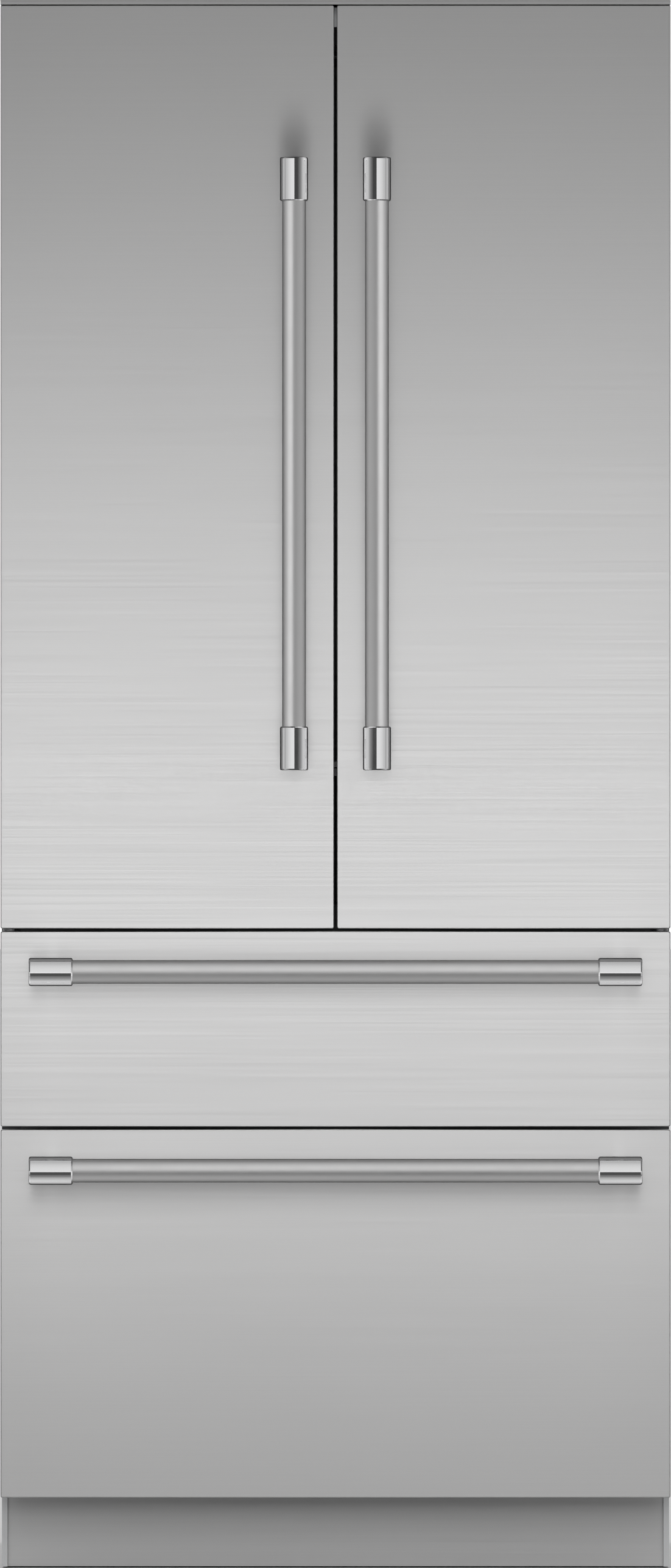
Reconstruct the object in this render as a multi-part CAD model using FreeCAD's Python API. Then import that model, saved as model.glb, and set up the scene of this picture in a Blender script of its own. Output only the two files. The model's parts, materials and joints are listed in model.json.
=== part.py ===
import FreeCAD, Part
import math
import os
from FreeCAD import Vector

# Built-in french door refrigerator: two doors over two drawers.
# +Z is up, the doors face -Y, and the origin is on the floor under the middle of the part.
# All sizes are in millimetres.

# Overall
overall_width = 908.0
overall_height = 2130.0
body_depth = 610.0  # back of the cabinet to the face of the doors

# Doors and drawer fronts
kick_height = 100.0
lower_front_height = 499.0
upper_front_height = 264.5
front_gap = 4.0
front_thickness = 62.0  # steel face to the back of the inner liner
panel_return = 30.0  # depth of the panel's folded sides
panel_sheet = 1.0
panel_corner_radius = 2.5
panel_edge_radius = 1.5
core_inset = 14.0
dyke_depth = 18.0
dyke_width = 22.0
dyke_clearance = 8.0
dyke_round = 6.0
dyke_chamfer = 5.0
gasket_width = 14.0
gasket_depth = 9.7
gasket_chamfer = 3.0
seal_gap = 0.3
seal_margin = 3.0

# Handles
handle_length = 828.0
handle_standoff = 52.0  # panel face to the handle's axis
bar_diameter = 32.0
bar_wall = 2.5
ferrule_diameter = 38.0
ferrule_length = 59.0
ferrule_round = 2.0
round_steps = 2
ferrule_chamfer = 1.7
ferrule_socket = 45.0
socket_clearance = 0.05
post_diameter = 26.0
post_flange_diameter = 34.0
post_flange = 3.0
door_handle_offset = 56.0  # middle of the part to a door handle's axis
door_handle_rise = 214.5  # door bottom to the low end of its handle
drawer_handle_drop = 54.0  # drawer front's top to its handle's axis

# Cabinet shell
cabinet_sheet = 1.0
side_flange = 7.5
seal_flange = 26.0  # steel rim that the seals close on, above the kick plate
back_flange = 15.0
side_wall = 50.0
top_wall = 50.0
back_wall = 55.0
bottom_wall = 50.0
liner_wall = 1.5
liner_radius = 16.0
trim_height = 6.0
trim_gap = 1.0
trim_bevel = 1.5
trim_sheet = 1.2
trim_overlap = 60.0  # how far the trim lies over the cabinet
floor_gap = 2.0
kick_recess = 8.0
kick_return = 20.0

# Machine compartment and base
machine_height = 232.0
machine_depth = 190.0
step_wall = 45.0
base_height = 24.0
frame_sheet = 1.5
cross_width = 30.0
foot_inset = 70.0
foot_radius = 20.0
foot_pad = 8.0
stud_radius = 6.0
stud_rise = 14.0
foot_neck_radius = 11.0
running_clearance = 0.05
anti_tip_spacing_x = 600.0
anti_tip_spacing_y = 60.0
anti_tip_inset = 120.0  # back of the cabinet to the middle of the four holes
anti_tip_radius = 3.3
anti_tip_pocket_radius = 9.0
anti_tip_pocket_depth = 25.0

# Door hinges and flip mullion
hinge_inset = 12.0  # door side to the hinge axis
hinge_setback = 12.0  # door face to the hinge axis
hinge_gap = 0.5
hinge_arm_half = 9.0
hinge_foot = 45.0
hinge_flange = 3.0
hinge_flange_half = 12.0
pin_radius = 5.0
pin_depth = 22.0
mullion_width = 44.0
mullion_depth = 16.0
mullion_edge = 4.0  # door's free edge to the mullion
mullion_round = 3.0
mullion_pivot_inset = 6.0
mullion_pin_radius = 3.0
mullion_pin_length = 6.0
mullion_arm = 9.0
mullion_play = 0.3
mullion_margin = 8.0

# Drawer slides and tubs
slide_depth = 12.7
slide_height = 45.0
slide_sheet = 1.5
slide_play = 0.4
slide_setback = 2.0  # dyke to the front end of the slides
upper_slide_rise = 60.0
lower_slide_rise = 180.0
tub_wall = 3.0
tub_corner = 12.0
tub_floor_gap = 6.0
tub_back_gap = 8.0
upper_tub_height = 160.0
basket_height = 314.0
tray_depth = 200.0
tray_height = 66.0
tray_front_gap = 4.0
tray_corner = 4.0

# Fridge fittings
shelf_rows = 3
shelf_front_gap = 112.0  # cabinet front to the shelf front
shelf_border = 14.0
shelf_thickness = 12.0
shelf_side_gap = 4.0
shelf_middle_gap = 16.0
shelf_back_gap = 8.0
shelf_lip = 4.0
glass_thickness = 4.0
glass_play = 0.3
arm_sheet = 3.0
arm_heel = 46.0
arm_tip = 8.0
hook_height = 12.0
hook_reach = 3.0
track_width = 16.0
track_depth = 10.0
track_sheet = 1.5
slots_per_row = 4
first_slot = 2
slot_width = 5.0
slot_height = 16.0
track_margin = 40.0
duct_width = 110.0
duct_depth = 20.0
duct_sheet = 2.0
duct_vents = 6
vent_width = 70.0
vent_height = 8.0
crisper_height = 176.0
crisper_wall = 2.5
crisper_corner = 14.0
crisper_lip = 10.0
crisper_play = 0.4
crisper_side_play = 1.0
crisper_floor_gap = 6.0
guide_sheet = 3.0
guide_drop = 16.0
grip_width = 160.0
grip_height = 26.0
grip_round = 10.0
light_width = 14.0
light_depth = 5.0
light_setback = 40.0
light_margin = 60.0
control_width = 240.0
control_depth = 110.0
control_height = 22.0
control_setback = 50.0
control_round = 3.0
bin_rows = 3
bin_depth = 104.0
bin_height = 112.0
bin_wall = 2.5
bin_corner = 28.0
bin_side_play = 0.3
bin_margin = 40.0

# Cooling parts
evaporator_space = 55.0
evaporator_side_gap = 6.0
evaporator_top_gap = 8.0
evaporator_sheet = 2.0
evaporator_rows = 5
evaporator_pitch = 26.0
evaporator_tube = 8.0
evaporator_fins = 9
evaporator_fin_sheet = 1.0
evaporator_fin_depth = 34.0
evaporator_end_gap = 30.0
return_slots = 14
return_slot_width = 6.0
return_slot_height = 40.0
return_slot_pitch = 24.0
return_slot_rise = 18.0
evaporator_fan_radius = 46.0
condenser_fan_radius = 66.0
fan_mouth_gap = 4.0
fan_hub_radius = 15.0
fan_hub_length = 18.0
fan_blades = 5
fan_blade_sheet = 1.6
fan_root_share = 0.8
fan_root_chord = 18.0
fan_root_pitch = 42.0
fan_tip_share = 0.6
fan_tip_pitch = 26.0
fan_shaft_radius = 2.5
fan_motor_radius = 18.0
fan_motor_length = 16.0
fan_spoke = 5.0
fan_spokes = 3
fan_end_gap = 0.4
compressor_radius = 72.0
compressor_height = 165.0
compressor_foot = 8.0
compressor_foot_radius = 12.0
compressor_dome = 55.0
dome_steps = 3
compressor_seam = 4.0
compressor_plate_x = 210.0
compressor_plate_y = 120.0
compressor_side_gap = 204.0  # side of the cabinet to the compressor's axis
compressor_tube_radius = 5.0
compressor_tube_length = 24.0
compressor_tube_angle = 30.0
shroud_offset = 60.0  # shroud to the middle of the cabinet
shroud_side = 158.0
shroud_sheet = 2.5
shroud_foot = 16.0
bend_steps = 3
tube_sides = 6
condenser_runs = 6
condenser_pitch = 22.0
condenser_tube = 6.0
condenser_length = 300.0
condenser_side_gap = 94.0  # side of the cabinet to the coil's bends
condenser_row_gap = 70.0
condenser_plate = 1.5
condenser_plate_inset = 20.0
condenser_rise = 42.0
drain_wall = 2.0
drain_height = 26.0
drain_corner = 6.0
drain_margin = 12.0
cover_slots = 13
cover_slot_width = 6.0
cover_slot_height = 70.0
cover_slot_pitch = 56.0
gland_side_gap = 74.0  # side of the cabinet to the cord gland
gland_rise = 36.0
gland_bore = 6.0
gland_radius = 11.0
gland_length = 9.0

# Places that follow from the sizes above
handle_reach = handle_standoff + ferrule_diameter / 2
half_width = overall_width / 2
back_y = (body_depth + handle_reach) / 2
face_y = back_y - body_depth
handle_y = face_y - handle_standoff
core_back_y = face_y + front_thickness
cabinet_y = core_back_y + gasket_depth + seal_gap
dyke_back_y = core_back_y + dyke_depth
cabinet_top = overall_height - trim_height
door_top = cabinet_top - trim_gap
lower_top = kick_height + lower_front_height
upper_bottom = lower_top + front_gap
upper_top = upper_bottom + upper_front_height
door_bottom = upper_top + front_gap
seal_land = front_gap / 2 + core_inset + gasket_width + seal_margin
inner_half = half_width - side_wall
inner_back_y = back_y - back_wall
fridge_floor = door_bottom - front_gap / 2 + seal_land
fridge_ceiling = cabinet_top - top_wall
upper_ceiling = upper_top + front_gap / 2 - seal_land
upper_floor = upper_bottom - front_gap / 2 + seal_land
freezer_ceiling = lower_top + front_gap / 2 - seal_land
freezer_floor = kick_height + bottom_wall
machine_front_y = back_y - machine_depth
step_y = machine_front_y - step_wall
step_z = machine_height + step_wall
base_top = base_height + frame_sheet
hinge_x = half_width - hinge_inset
hinge_y = face_y + hinge_setback
hinge_plate = front_gap - 2 * hinge_gap
flange_half = half_width - seal_flange
dyke_inset = side_wall + dyke_clearance
slide_front_y = dyke_back_y + slide_setback
evaporator_y = inner_back_y - evaporator_space
tub_back_y = evaporator_y - tub_back_gap
tub_half = inner_half - slide_depth
upper_slide_z = upper_floor + upper_slide_rise
lower_slide_z = freezer_floor + lower_slide_rise
basket_floor = freezer_floor + tub_floor_gap
basket_rim = basket_floor + basket_height
shelf_front_y = cabinet_y + shelf_front_gap
shelf_back_y = inner_back_y - duct_depth - shelf_back_gap
track_face_y = inner_back_y - track_depth
crisper_floor = fridge_floor + crisper_floor_gap
crisper_rim = crisper_floor + crisper_height
cover_z = crisper_rim + guide_drop
machine_mid_y = back_y - machine_depth / 2
compressor_x = compressor_side_gap - half_width
condenser_x1 = half_width - condenser_side_gap
condenser_x0 = condenser_x1 - condenser_length
shroud_x = -shroud_offset


def block(x0, x1, y0, y1, z0, z1):
    return Part.makeBox(x1 - x0, y1 - y0, z1 - z0, Vector(x0, y0, z0))


def rod(radius, start, direction, length):
    return Part.makeCylinder(radius, length, start, direction)


def extruded(points, direction):
    outline = Part.makePolygon(points + points[:1])
    return Part.Face(outline).extrude(direction)


def along_x(profile, x0, x1):
    return extruded([Vector(x0, y, z) for y, z in profile], Vector(x1 - x0, 0, 0))


def along_y(profile, y0, y1):
    return extruded([Vector(x, y0, z) for x, z in profile], Vector(0, y1 - y0, 0))


def along_z(profile, z0, z1):
    return extruded([Vector(x, y, z0) for x, y in profile], Vector(0, 0, z1 - z0))


def revolved(profile, place, axis, side):
    """A lathe-turned solid: profile holds (radius, height) pairs, place is the axis' foot."""
    points = [place + side * radius + axis * height for radius, height in profile]
    outline = Part.makePolygon(points + points[:1])
    return Part.Face(outline).revolve(place, axis, 360)


def parallel_edges(shape, direction):
    """The straight edges of a shape that run along a direction."""
    chosen = []
    for edge in shape.Edges:
        if len(edge.Vertexes) == 2 and isinstance(edge.Curve, Part.Line):
            run = edge.Vertexes[1].Point - edge.Vertexes[0].Point
            if run.cross(direction).Length < 1e-6 * run.Length:
                chosen.append(edge)
    return chosen


def edges_at(shape, axis, place):
    """The edges of a shape that lie whole in the plane where an axis (0, 1 or 2) has one value."""
    lows = ("XMin", "YMin", "ZMin")
    highs = ("XMax", "YMax", "ZMax")
    chosen = []
    for edge in shape.Edges:
        box = edge.BoundBox
        low = getattr(box, lows[axis])
        high = getattr(box, highs[axis])
        if abs(low - place) < 1e-4 and abs(high - place) < 1e-4:
            chosen.append(edge)
    return chosen


def rounded_block(x0, x1, y0, y1, z0, z1, radius, direction):
    solid = block(x0, x1, y0, y1, z0, z1)
    return solid.makeFillet(radius, parallel_edges(solid, direction))


def mirrored(shape):
    return shape.mirror(Vector(0, 0, 0), Vector(1, 0, 0))


def both_sides(shape):
    return [shape, mirrored(shape)]


def group(solids):
    return Part.makeCompound(solids)


def write(name, shape):
    shape.exportStep("parts/" + name + ".step")


# Cabinet shell


def side_panel():
    """The right side: one sheet with a back flange and a front flange that widens above the kick plate."""
    t = cabinet_sheet
    x1 = half_width
    profile = [
        (x1, cabinet_y), (x1, back_y), (x1 - back_flange, back_y), (x1 - back_flange, back_y - t),
        (x1 - t, back_y - t), (x1 - t, cabinet_y + t), (x1 - side_flange, cabinet_y + t),
        (x1 - side_flange, cabinet_y),
    ]
    panel = along_z(profile, floor_gap, cabinet_top)
    rim = block(flange_half, x1 - side_flange, cabinet_y, cabinet_y + t, kick_height, cabinet_top)
    return panel.fuse(rim).removeSplitter()


def anti_tip_points():
    y = back_y - anti_tip_inset
    return [
        Vector(sx * anti_tip_spacing_x / 2, y + sy * anti_tip_spacing_y / 2, cabinet_top)
        for sx in (-1, 1) for sy in (-1, 1)
    ]


def top_panel():
    """The top sheet with a down-turned front flange and four tapped holes for an anti-tip plate."""
    t = cabinet_sheet
    profile = [
        (cabinet_y, cabinet_top), (back_y - t, cabinet_top), (back_y - t, cabinet_top - t),
        (cabinet_y + t, cabinet_top - t), (cabinet_y + t, cabinet_top - seal_flange),
        (cabinet_y, cabinet_top - seal_flange),
    ]
    panel = along_x(profile, -flange_half, flange_half)
    rest = block(-half_width + t, half_width - t, cabinet_y + t, back_y - t, cabinet_top - t, cabinet_top)
    panel = panel.fuse(rest).removeSplitter()
    for point in anti_tip_points():
        panel = panel.cut(rod(anti_tip_radius, point - Vector(0, 0, 2 * t), Vector(0, 0, 1), 4 * t))
    return panel


def back_panel():
    t = cabinet_sheet
    reach = half_width - back_flange
    return block(-reach, reach, back_y - t, back_y, machine_height, cabinet_top)


def foam_slabs():
    """The foam round the three compartments, in flat slabs."""
    t = cabinet_sheet
    front = cabinet_y + liner_wall
    back = back_y - t
    side_in = inner_half + liner_wall
    side_out = half_width - t
    deck = machine_height + frame_sheet
    top = cabinet_top - t
    inner_back = inner_back_y + liner_wall
    wall_front = machine_front_y - frame_sheet
    step_front = step_y + liner_wall
    upper_side = block(side_in, side_out, front, back, deck, top)
    lower_side = block(side_in, side_out, front, wall_front, kick_height, deck)
    ceiling = block(-side_in, side_in, front, inner_back, fridge_ceiling + liner_wall, top)
    for point in anti_tip_points():
        start = point - Vector(0, 0, anti_tip_pocket_depth)
        ceiling = ceiling.cut(rod(anti_tip_pocket_radius, start, Vector(0, 0, 1), anti_tip_pocket_depth))
    slabs = both_sides(upper_side) + both_sides(lower_side)
    slabs.append(ceiling)
    slabs.append(block(-side_in, side_in, inner_back, back, deck, top))
    slabs.append(block(-side_in, side_in, step_front, inner_back, deck, step_z - liner_wall))
    slabs.append(block(-side_in, side_in, step_front, wall_front, kick_height, deck))
    slabs.append(block(-side_in, side_in, front, step_front, kick_height, freezer_floor - liner_wall))
    for low, high in ((freezer_ceiling, upper_floor), (upper_ceiling, fridge_floor)):
        slabs.append(block(-side_in, side_in, front, inner_back, low + liner_wall, high - liner_wall))
    return group(slabs)


def front_flange(z0, z1, low, high):
    """The flat rim of a liner round its mouth, from low to high."""
    rim = block(-flange_half, flange_half, cabinet_y, cabinet_y + liner_wall, low, high)
    return rim.cut(block(-inner_half, inner_half, cabinet_y, cabinet_y + liner_wall, z0, z1))


def box_liner(z0, z1, low, high):
    w = liner_wall
    outer = rounded_block(-inner_half - w, inner_half + w, cabinet_y, inner_back_y + w, z0 - w, z1 + w,
                          liner_radius + w, Vector(0, 1, 0))
    inner = rounded_block(-inner_half, inner_half, cabinet_y, inner_back_y, z0, z1,
                          liner_radius, Vector(0, 1, 0))
    rim = front_flange(z0, z1, low, high)
    mouth = rounded_block(-inner_half, inner_half, cabinet_y, cabinet_y + w, z0, z1,
                          liner_radius, Vector(0, 1, 0))
    corners = block(-inner_half, inner_half, cabinet_y, cabinet_y + w, z0, z1).cut(mouth)
    return outer.cut(inner).fuse([rim, corners]).removeSplitter()


def freezer_liner():
    """The freezer's liner steps up over the machine compartment."""
    w = liner_wall

    def profile(grow):
        floor = freezer_floor - grow
        step = step_z - grow
        top = freezer_ceiling + grow
        return [
            (cabinet_y, floor), (step_y + grow, floor), (step_y + grow, step),
            (inner_back_y + grow, step), (inner_back_y + grow, top), (cabinet_y, top),
        ]

    outer = along_x(profile(w), -inner_half - w, inner_half + w)
    shell = outer.cut(along_x(profile(0), -inner_half, inner_half))
    middle = lower_top + front_gap / 2
    rim = front_flange(freezer_floor, freezer_ceiling, kick_height, middle)
    return shell.fuse(rim).removeSplitter()


def top_trim():
    """A shallow upturned pan over the doors, lying on the cabinet behind them, with a bevelled upper edge."""
    t = trim_sheet
    rear = cabinet_y + trim_overlap
    profile = [
        (face_y, cabinet_top), (face_y, overall_height - trim_bevel), (face_y + trim_bevel, overall_height),
        (rear, overall_height), (rear, cabinet_top),
    ]
    pan = along_x(profile, -half_width, half_width)
    hollow = block(-half_width + t, half_width - t, face_y + t, rear - t, cabinet_top, overall_height - t)
    return pan.cut(hollow)


def kick_plate():
    t = cabinet_sheet
    y0 = cabinet_y + kick_recess
    top = kick_height - frame_sheet
    profile = [
        (y0, floor_gap), (y0 + t, floor_gap), (y0 + t, top - t), (y0 + kick_return, top - t),
        (y0 + kick_return, top), (y0, top),
    ]
    return along_x(profile, -half_width + t, half_width - t)


def foot_points():
    return [
        Vector(sx * (half_width - foot_inset), y, 0)
        for sx in (-1, 1) for y in (cabinet_y + foot_inset, back_y - foot_inset)
    ]


def base_frame():
    """The base pan, its side and front channels, and the stepped deck under the foam."""
    t = frame_sheet
    side = half_width - cabinet_sheet
    front = cabinet_y + kick_recess + kick_return
    back = back_y - cabinet_sheet
    low_deck = kick_height - t
    pan = block(-side, side, front, back, base_height, base_top)
    deck_profile = [
        (cabinet_y + liner_wall, low_deck), (machine_front_y, low_deck), (machine_front_y, machine_height),
        (back, machine_height), (back, machine_height + t), (machine_front_y - t, machine_height + t),
        (machine_front_y - t, kick_height), (cabinet_y + liner_wall, kick_height),
    ]
    deck = along_x(deck_profile, -side, side)
    channel_profile = [
        (side, base_top), (side, low_deck), (side - cross_width, low_deck),
        (side - cross_width, low_deck - t), (side - t, low_deck - t), (side - t, base_top),
    ]
    channel = along_y(channel_profile, front, machine_front_y)
    cross_profile = [
        (front, base_top), (front, low_deck), (front + cross_width, low_deck),
        (front + cross_width, low_deck - t), (front + t, low_deck - t), (front + t, base_top),
    ]
    cross = along_x(cross_profile, -side, side)
    frame = pan.fuse([deck, cross] + both_sides(channel)).removeSplitter()
    for point in foot_points():
        start = point + Vector(0, 0, base_height)
        frame = frame.cut(rod(stud_radius + running_clearance, start, Vector(0, 0, 1), t))
    return frame


def leveling_feet():
    """Round pads with a stout neck up to the base pan and a stud through it."""
    profile = [
        (0, 0), (foot_radius, 0), (foot_radius, foot_pad), (foot_neck_radius, foot_pad),
        (foot_neck_radius, base_height), (stud_radius, base_height), (stud_radius, base_top + stud_rise),
        (0, base_top + stud_rise),
    ]
    return group([revolved(profile, point, Vector(0, 0, 1), Vector(1, 0, 0)) for point in foot_points()])


# Doors, drawer fronts and handles


def front_panel(x0, x1, z0, z1):
    """A steel front: a flat face with folded sides, open at the back."""
    t = panel_sheet
    y1 = face_y + panel_return
    pan = rounded_block(x0, x1, face_y, y1, z0, z1, panel_corner_radius, Vector(0, 1, 0))
    pan = pan.makeFillet(panel_edge_radius, edges_at(pan, 1, face_y))
    return pan.cut(block(x0 + t, x1 - t, face_y + t, y1, z0 + t, z1 - t))


def front_core(x0, x1, z0, z1):
    """The insulated body of a front: it fills the panel, steps in behind it and ends in a raised dyke."""
    t = panel_sheet
    i = core_inset
    d = dyke_inset
    e = dyke_inset + dyke_width
    y = Vector(0, 1, 0)
    mid_y = face_y + panel_return
    plug = block(x0 + t, x1 - t, face_y + t, mid_y, z0 + t, z1 - t)
    body = block(x0 + i, x1 - i, mid_y, core_back_y, z0 + i, z1 - i)
    dyke = rounded_block(x0 + d, x1 - d, core_back_y, dyke_back_y, z0 + d, z1 - d, liner_radius, y)
    dyke = dyke.makeChamfer(dyke_chamfer, edges_at(dyke, 1, dyke_back_y))
    bay = rounded_block(x0 + e, x1 - e, core_back_y, dyke_back_y, z0 + e, z1 - e, dyke_round, y)
    return plug.fuse([body, dyke.cut(bay)]).removeSplitter()


def front_gasket(x0, x1, z0, z1):
    """A soft ring on the back of a front, with a rounded sealing face."""
    i = core_inset
    j = core_inset + gasket_width
    y1 = core_back_y + gasket_depth
    ring = block(x0 + i, x1 - i, core_back_y, y1, z0 + i, z1 - i)
    ring = ring.cut(block(x0 + j, x1 - j, core_back_y, y1, z0 + j, z1 - j))
    return ring.makeChamfer(gasket_chamfer, edges_at(ring, 1, y1))


def ferrule():
    """The upper end of an upright handle: a round cap with a socket for the bar and a post to the panel."""
    up = Vector(0, 0, 1)
    inward = Vector(0, 1, 0)
    top = handle_length / 2
    low = top - ferrule_length
    middle = top - ferrule_length / 2
    r = ferrule_diameter / 2
    profile = [(0, 0), (r - ferrule_chamfer, 0), (r, ferrule_chamfer)]
    for step in range(round_steps + 1):
        angle = math.pi / 2 * step / round_steps
        profile.append((r - ferrule_round * (1 - math.cos(angle)),
                        ferrule_length - ferrule_round * (1 - math.sin(angle))))
    profile.append((0, ferrule_length))
    cap = revolved(profile, Vector(0, handle_y, low), up, Vector(1, 0, 0))
    post = rod(post_diameter / 2, Vector(0, handle_y, middle), inward, handle_standoff)
    flange = rod(post_flange_diameter / 2, Vector(0, face_y - post_flange, middle), inward, post_flange)
    socket = rod(bar_diameter / 2 + socket_clearance, Vector(0, handle_y, low), up, ferrule_socket)
    return cap.fuse([post, flange]).removeSplitter().cut(socket)


def handle_ends():
    upper = ferrule()
    return group([upper, upper.mirror(Vector(0, 0, 0), Vector(0, 0, 1))])


def handle_bar():
    up = Vector(0, 0, 1)
    length = handle_length - 2 * (ferrule_length - ferrule_socket)
    start = Vector(0, handle_y, -length / 2)
    return rod(bar_diameter / 2, start, up, length).cut(rod(bar_diameter / 2 - bar_wall, start, up, length))


def on_door(shape):
    """Stands a handle piece on the right door."""
    middle = door_bottom + door_handle_rise + handle_length / 2
    return shape.translated(Vector(door_handle_offset, 0, middle))


def on_drawer(shape, front_top):
    """Lays a handle piece along a drawer front."""
    laid = shape.rotated(Vector(0, handle_y, 0), Vector(0, 1, 0), 90)
    return laid.translated(Vector(0, 0, front_top - drawer_handle_drop))


# Hinges and flip mullion


def hinge_arm(z0, z1, rear_y):
    """A flat arm on the right, round at the pin and straight back to rear_y, with the pin's hole."""
    up = Vector(0, 0, 1)
    foot = Vector(hinge_x, hinge_y, z0)
    arm = block(hinge_x - hinge_arm_half, hinge_x + hinge_arm_half, hinge_y, rear_y, z0, z1)
    arm = arm.fuse(rod(hinge_arm_half, foot, up, z1 - z0)).removeSplitter()
    return arm.cut(rod(pin_radius + socket_clearance, foot, up, z1 - z0))


def door_hinges():
    """Top arms on the cabinet and middle arms between door and drawer, each with its pin."""
    up = Vector(0, 0, 1)
    top_arm = hinge_arm(cabinet_top, cabinet_top + hinge_plate, cabinet_y + hinge_foot)
    top_low = door_top - pin_depth
    top_pin = rod(pin_radius, Vector(hinge_x, hinge_y, top_low), up, cabinet_top + hinge_plate - top_low)
    low = upper_top + hinge_gap
    middle_arm = hinge_arm(low, low + hinge_plate, cabinet_y)
    centre = low + hinge_plate / 2
    flange = block(hinge_x - hinge_arm_half, hinge_x + hinge_arm_half, cabinet_y - hinge_flange, cabinet_y,
                   centre - hinge_flange_half, centre + hinge_flange_half)
    middle_arm = middle_arm.fuse(flange).removeSplitter()
    middle_pin = rod(pin_radius, Vector(hinge_x, hinge_y, low), up, door_bottom + pin_depth - low)
    solids = []
    for piece in (top_arm, top_pin, middle_arm, middle_pin):
        solids += both_sides(piece)
    return group(solids)


def with_pin_bores(shape):
    """Bores the right door for its two hinge pins."""
    up = Vector(0, 0, 1)
    radius = pin_radius + running_clearance
    depth = pin_depth + hinge_gap
    for z in (door_bottom, door_top - depth):
        shape = shape.cut(rod(radius, Vector(hinge_x, hinge_y, z), up, depth))
    return shape


mullion_low = fridge_floor + mullion_margin + mullion_arm + mullion_play
mullion_high = fridge_ceiling - mullion_margin - mullion_arm - mullion_play
mullion_x1 = -front_gap / 2 - mullion_edge
mullion_x0 = mullion_x1 - mullion_width
mullion_pivot_x = mullion_x0 + mullion_pivot_inset
mullion_pivot_y = cabinet_y + mullion_depth / 2


def flip_mullion():
    """The bar behind the left door's free edge, with a pivot pin at each end."""
    up = Vector(0, 0, 1)
    bar = rounded_block(mullion_x0, mullion_x1, cabinet_y, cabinet_y + mullion_depth,
                        mullion_low, mullion_high, mullion_round, up)
    pins = [
        rod(mullion_pin_radius, Vector(mullion_pivot_x, mullion_pivot_y, z), up, mullion_pin_length)
        for z in (mullion_low - mullion_pin_length, mullion_high)
    ]
    return bar.fuse(pins).removeSplitter()


def mullion_arms():
    """The two ears on the left door that hold the mullion's pins."""
    up = Vector(0, 0, 1)
    half = mullion_depth / 2
    ears = []
    for z in (mullion_low - mullion_play - mullion_arm, mullion_high + mullion_play):
        foot = Vector(mullion_pivot_x, mullion_pivot_y, z)
        ear = block(foot.x - half, foot.x + half, core_back_y, foot.y, z, z + mullion_arm)
        ear = ear.fuse(rod(half, foot, up, mullion_arm)).removeSplitter()
        ears.append(ear.cut(rod(mullion_pin_radius + running_clearance, foot, up, mullion_arm)))
    return ears


# Drawer slides and tubs


def slide_member(near, far, half_height, z, web_on_wall_side):
    """A C-shaped slide member on the right; near and far are distances from the liner's wall."""
    t = slide_sheet
    h = half_height
    web = inner_half - near
    edge = inner_half - far
    web_face = web - t
    if not web_on_wall_side:
        web = inner_half - far
        edge = inner_half - near
        web_face = web + t
    profile = [
        (web, z - h), (edge, z - h), (edge, z - h + t), (web_face, z - h + t),
        (web_face, z + h - t), (edge, z + h - t), (edge, z + h), (web, z + h),
    ]
    return along_y(profile, slide_front_y, tub_back_y)


slide_nest = slide_sheet + slide_play
slide_mouth = slide_depth - 2 * slide_play


def slide_outer(z):
    return both_sides(slide_member(0, slide_mouth, slide_height / 2, z, True))


def slide_middle(z):
    near = slide_nest
    return group(both_sides(slide_member(near, slide_mouth, slide_height / 2 - near, z, True)))


def slide_inner(z):
    near = 2 * slide_nest
    return group(both_sides(slide_member(near, slide_depth, slide_height / 2 - near, z, False)))


def open_tub(x0, x1, y0, y1, z0, z1, wall, corner):
    up = Vector(0, 0, 1)
    outer = rounded_block(x0, x1, y0, y1, z0, z1, corner, up)
    inner = rounded_block(x0 + wall, x1 - wall, y0 + wall, y1 - wall, z0 + wall, z1, corner - wall, up)
    return outer.cut(inner)


def upper_drawer_tub():
    floor = upper_floor + tub_floor_gap
    return open_tub(-tub_half, tub_half, dyke_back_y, tub_back_y, floor, floor + upper_tub_height,
                    tub_wall, tub_corner)


def freezer_basket():
    """A deep tub whose back steps up over the machine compartment."""

    def profile(inset):
        front = dyke_back_y + inset
        low = basket_floor + inset
        heel = step_y - tub_back_gap - inset
        step = step_z + tub_floor_gap + inset
        back = tub_back_y - inset
        return [
            (front, low), (heel, low), (heel, step), (back, step), (back, basket_rim), (front, basket_rim),
        ]

    outer = along_x(profile(0), -tub_half, tub_half)
    return outer.cut(along_x(profile(tub_wall), -tub_half + tub_wall, tub_half - tub_wall))


def freezer_tray():
    """A shallow tray that slides on the basket's rim: a floor between two long rails and two end caps."""
    t = tub_wall
    front = dyke_back_y + tray_front_gap
    back = front + tray_depth
    low = basket_rim + slide_play
    high = low + tray_height
    inner = tub_half - t
    floor = block(-inner, inner, front + t, back - t, low, low + t)
    rails = [block(-inner, inner, y, y + t, low, high) for y in (front, back - t)]
    cap = rounded_block(inner, tub_half, front, back, low, high, tray_corner, Vector(1, 0, 0))
    return group([floor] + rails + both_sides(cap))


# Fridge fittings

row_pitch = (fridge_ceiling - cover_z) / (shelf_rows + 1)
slot_pitch = row_pitch / slots_per_row
track_low = cover_z + track_margin
track_high = fridge_ceiling - track_margin
track_places = (duct_width / 2 + track_width, inner_half - track_width)
hook_drop = shelf_thickness + arm_heel / 2


def shelf_levels():
    return [cover_z + row_pitch * (row + 1) for row in range(shelf_rows)]


def glass_frame(x0, x1, top):
    """A flat frame with a ledge round its window for a pane."""
    b = shelf_border
    lip = shelf_border - shelf_lip
    low = top - shelf_thickness
    frame = block(x0, x1, shelf_front_y, shelf_back_y, low, top)
    frame = frame.cut(block(x0 + b, x1 - b, shelf_front_y + b, shelf_back_y - b, low, top))
    return frame.cut(block(x0 + lip, x1 - lip, shelf_front_y + lip, shelf_back_y - lip,
                           top - glass_thickness - glass_play, top))


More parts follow.
